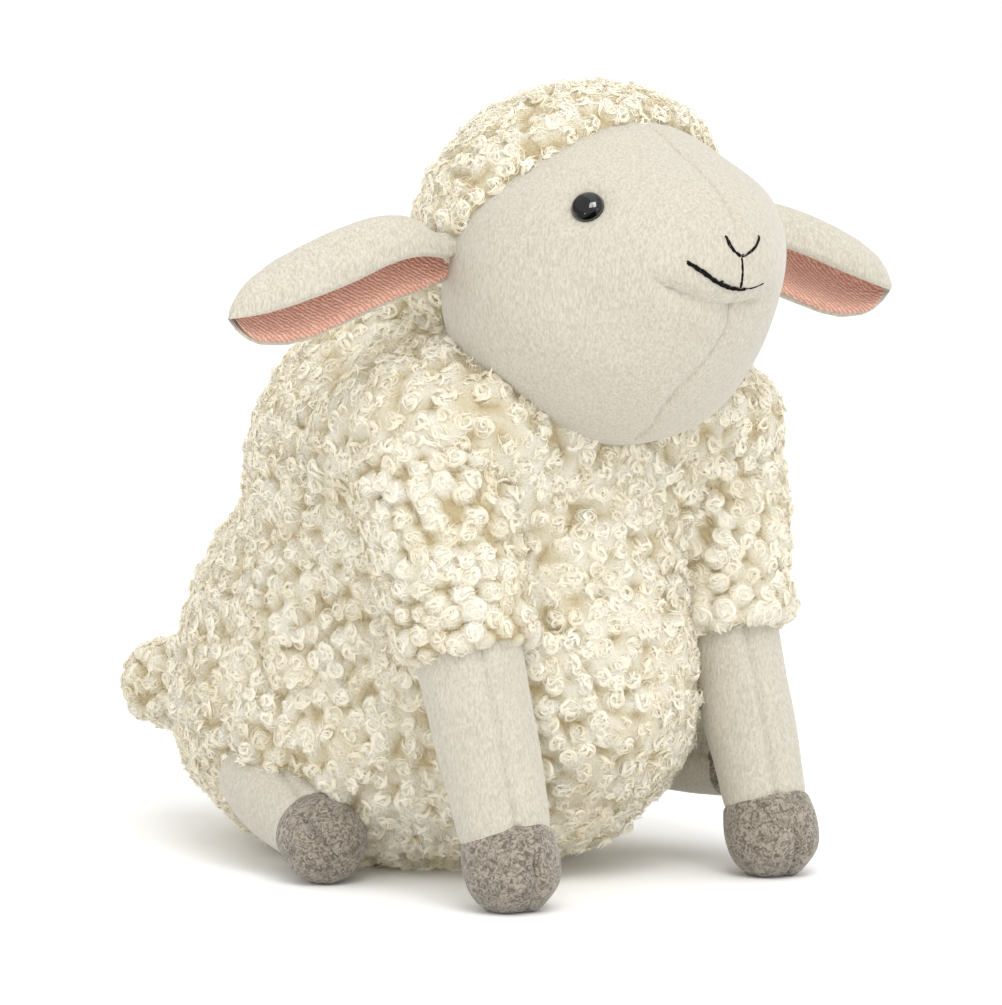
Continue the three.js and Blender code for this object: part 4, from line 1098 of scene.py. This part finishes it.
sleeve_knots = [
    [0, -21.5], [9, -19.5], [17, -13.2], [21.2, -4], [21.3, 8], [20.6, 22], [19.6, 36],
    [19.0, 45], [18.6, 49], [17.2, 51.6], [15.0, 51.8], [14.2, 49.5],
]
front_hoof_length = 23
for side, word in ((1, "left"), (-1, "right")):
    body_name = f"front_leg_{word}"
    at = np.array([side * 52.0, -70, 124])
    foot = np.array([side * 51.5, -111, 0])
    limb = limb_frame(at, foot - at, (-1, 0, 0))
    reach = np.linalg.norm(foot - at)
    leg_end = reach + 0.5 - front_hoof_length

    points, faces, angles, along = revolved(smooth_profile(sleeve_knots, 70), 104)
    fuller = 1 + (0.17 if word == "left" else 0.03) * smooth_step((44 - along) / 30)
    points[:, :2] *= (fuller + waves(points, 15, 51) * 0.02)[:, None]
    points = placed(points, limb)

    def sleeve_open(spots):
        local = (spots - limb[1]) @ limb[0]
        return (body_field(spots) > -11) & (head_field(spots) > -1) & (local[:, 2] > -52.4)

    sleeve = grow_fleece(f"sleeve_fleece_{word}", points, faces, 61, body_name, sleeve_open)
    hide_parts(f"front_sleeve_{word}")

    knots = [[0, 20], [10, 21], [15, 26], [16, 40], [16, 55], [15.4, 75], [14.6, 90]]
    knots += [[13.9, leg_end - 6], [13.3, leg_end - 1.5], [12.4, leg_end + 0.6], [9, leg_end + 1.5]]
    slim = 0.93 if word == "left" else 1.0
    knots = [[radius * slim, down] for radius, down in knots]
    replaced = (f"front_leg_cover_{word}", f"front_leg_stuffing_{word}")
    seam_azimuth, cleft_azimuth = math.radians(-21), math.radians(-8)
    add_velour_leg(
        f"leg_velour_{word}", replaced, limb, knots, seam_azimuth, body_name, 20, leg_end + 4, 15)
    add_hoof(
        f"hoof_front_{word}", f"front_hoof_{word}", limb, 13.5, 14.5, leg_end, front_hoof_length,
        body_name, cleft_azimuth)

# The hind legs: short velour tubes that lie forward along the floor, sewn in at the haunch.
# Each has a hoof of the same taupe nap, and the right leg dips until it rests on the floor.

hind_ankle, hind_radius = 12.5, 13
hind_start, hind_hoof_length = 33, 21
hind_leg_knots = [
    [0, -15.5], [8, -13.5], [14, -7], [15.4, 0], [15.2, 8], [14.5, 17], [13.4, 26],
    [12.8, 31.5], [11.9, 33.6], [8, 34.5],
]
# The right leg dips until its hoof would reach half a millimetre under the floor, where it is flat
right_drop = 27.5
dips = []
for share, wide in list(zip(hoof_lengths, [hind_ankle / hind_radius] + hoof_radii[1:]))[:-1]:
    radius, along_leg = hind_radius * wide, hind_start + hind_hoof_length * share
    dips.append(math.asin(right_drop / math.hypot(radius, along_leg)) - math.atan2(radius, along_leg))
hind_legs = [
    (1, "left", (63, -36, 34), 12, math.radians(6)),
    (-1, "right", (-57, 6, 27), 11, min(dips)),
]
for side, word, at, splay, dip in hind_legs:
    turn_out = math.radians(splay)
    level = math.cos(dip)
    along = np.array([side * math.sin(turn_out) * level, -math.cos(turn_out) * level, -math.sin(dip)])
    limb = limb_frame(at, along, (0, 0, side))
    body_name = f"hind_leg_{word}"
    replaced = (f"hind_leg_cover_{word}", f"hind_leg_stuffing_{word}")
    seam_azimuth, cleft_azimuth = math.radians(-21), math.radians(side * 30)
    add_velour_leg(
        f"hind_velour_{word}", replaced, limb, hind_leg_knots, seam_azimuth, body_name, 4, 36, 14)
    add_hoof(
        f"hoof_hind_{word}", f"hind_hoof_{word}", limb, hind_ankle, hind_radius, hind_start,
        hind_hoof_length, body_name, cleft_azimuth)

# The tail: a small stuffed tuft of the curly fleece, sewn to the back over the floor.
# It points back and a little to the sheep's right.

side_turn, tail_dip = math.radians(20), math.radians(6)
tail_along = np.array([-math.sin(side_turn), math.cos(side_turn), -math.sin(tail_dip)])
limb = limb_frame((-4, 84, 47), tail_along, (0, 0, 1))
tail_knots = [[0, -9], [6, -7], [9, 0], [10.5, 8], [12.5, 18], [13.4, 28], [12.4, 39], [8.4, 47], [0, 51]]
points, faces, angles, along = revolved(smooth_profile(tail_knots, 60), 80)
points = placed(points, limb)
tail = grow_fleece("tail_fleece", points, faces, 71, "tail", lambda spots: body_field(spots) > -6)
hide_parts("tail_cover", "tail_stuffing")
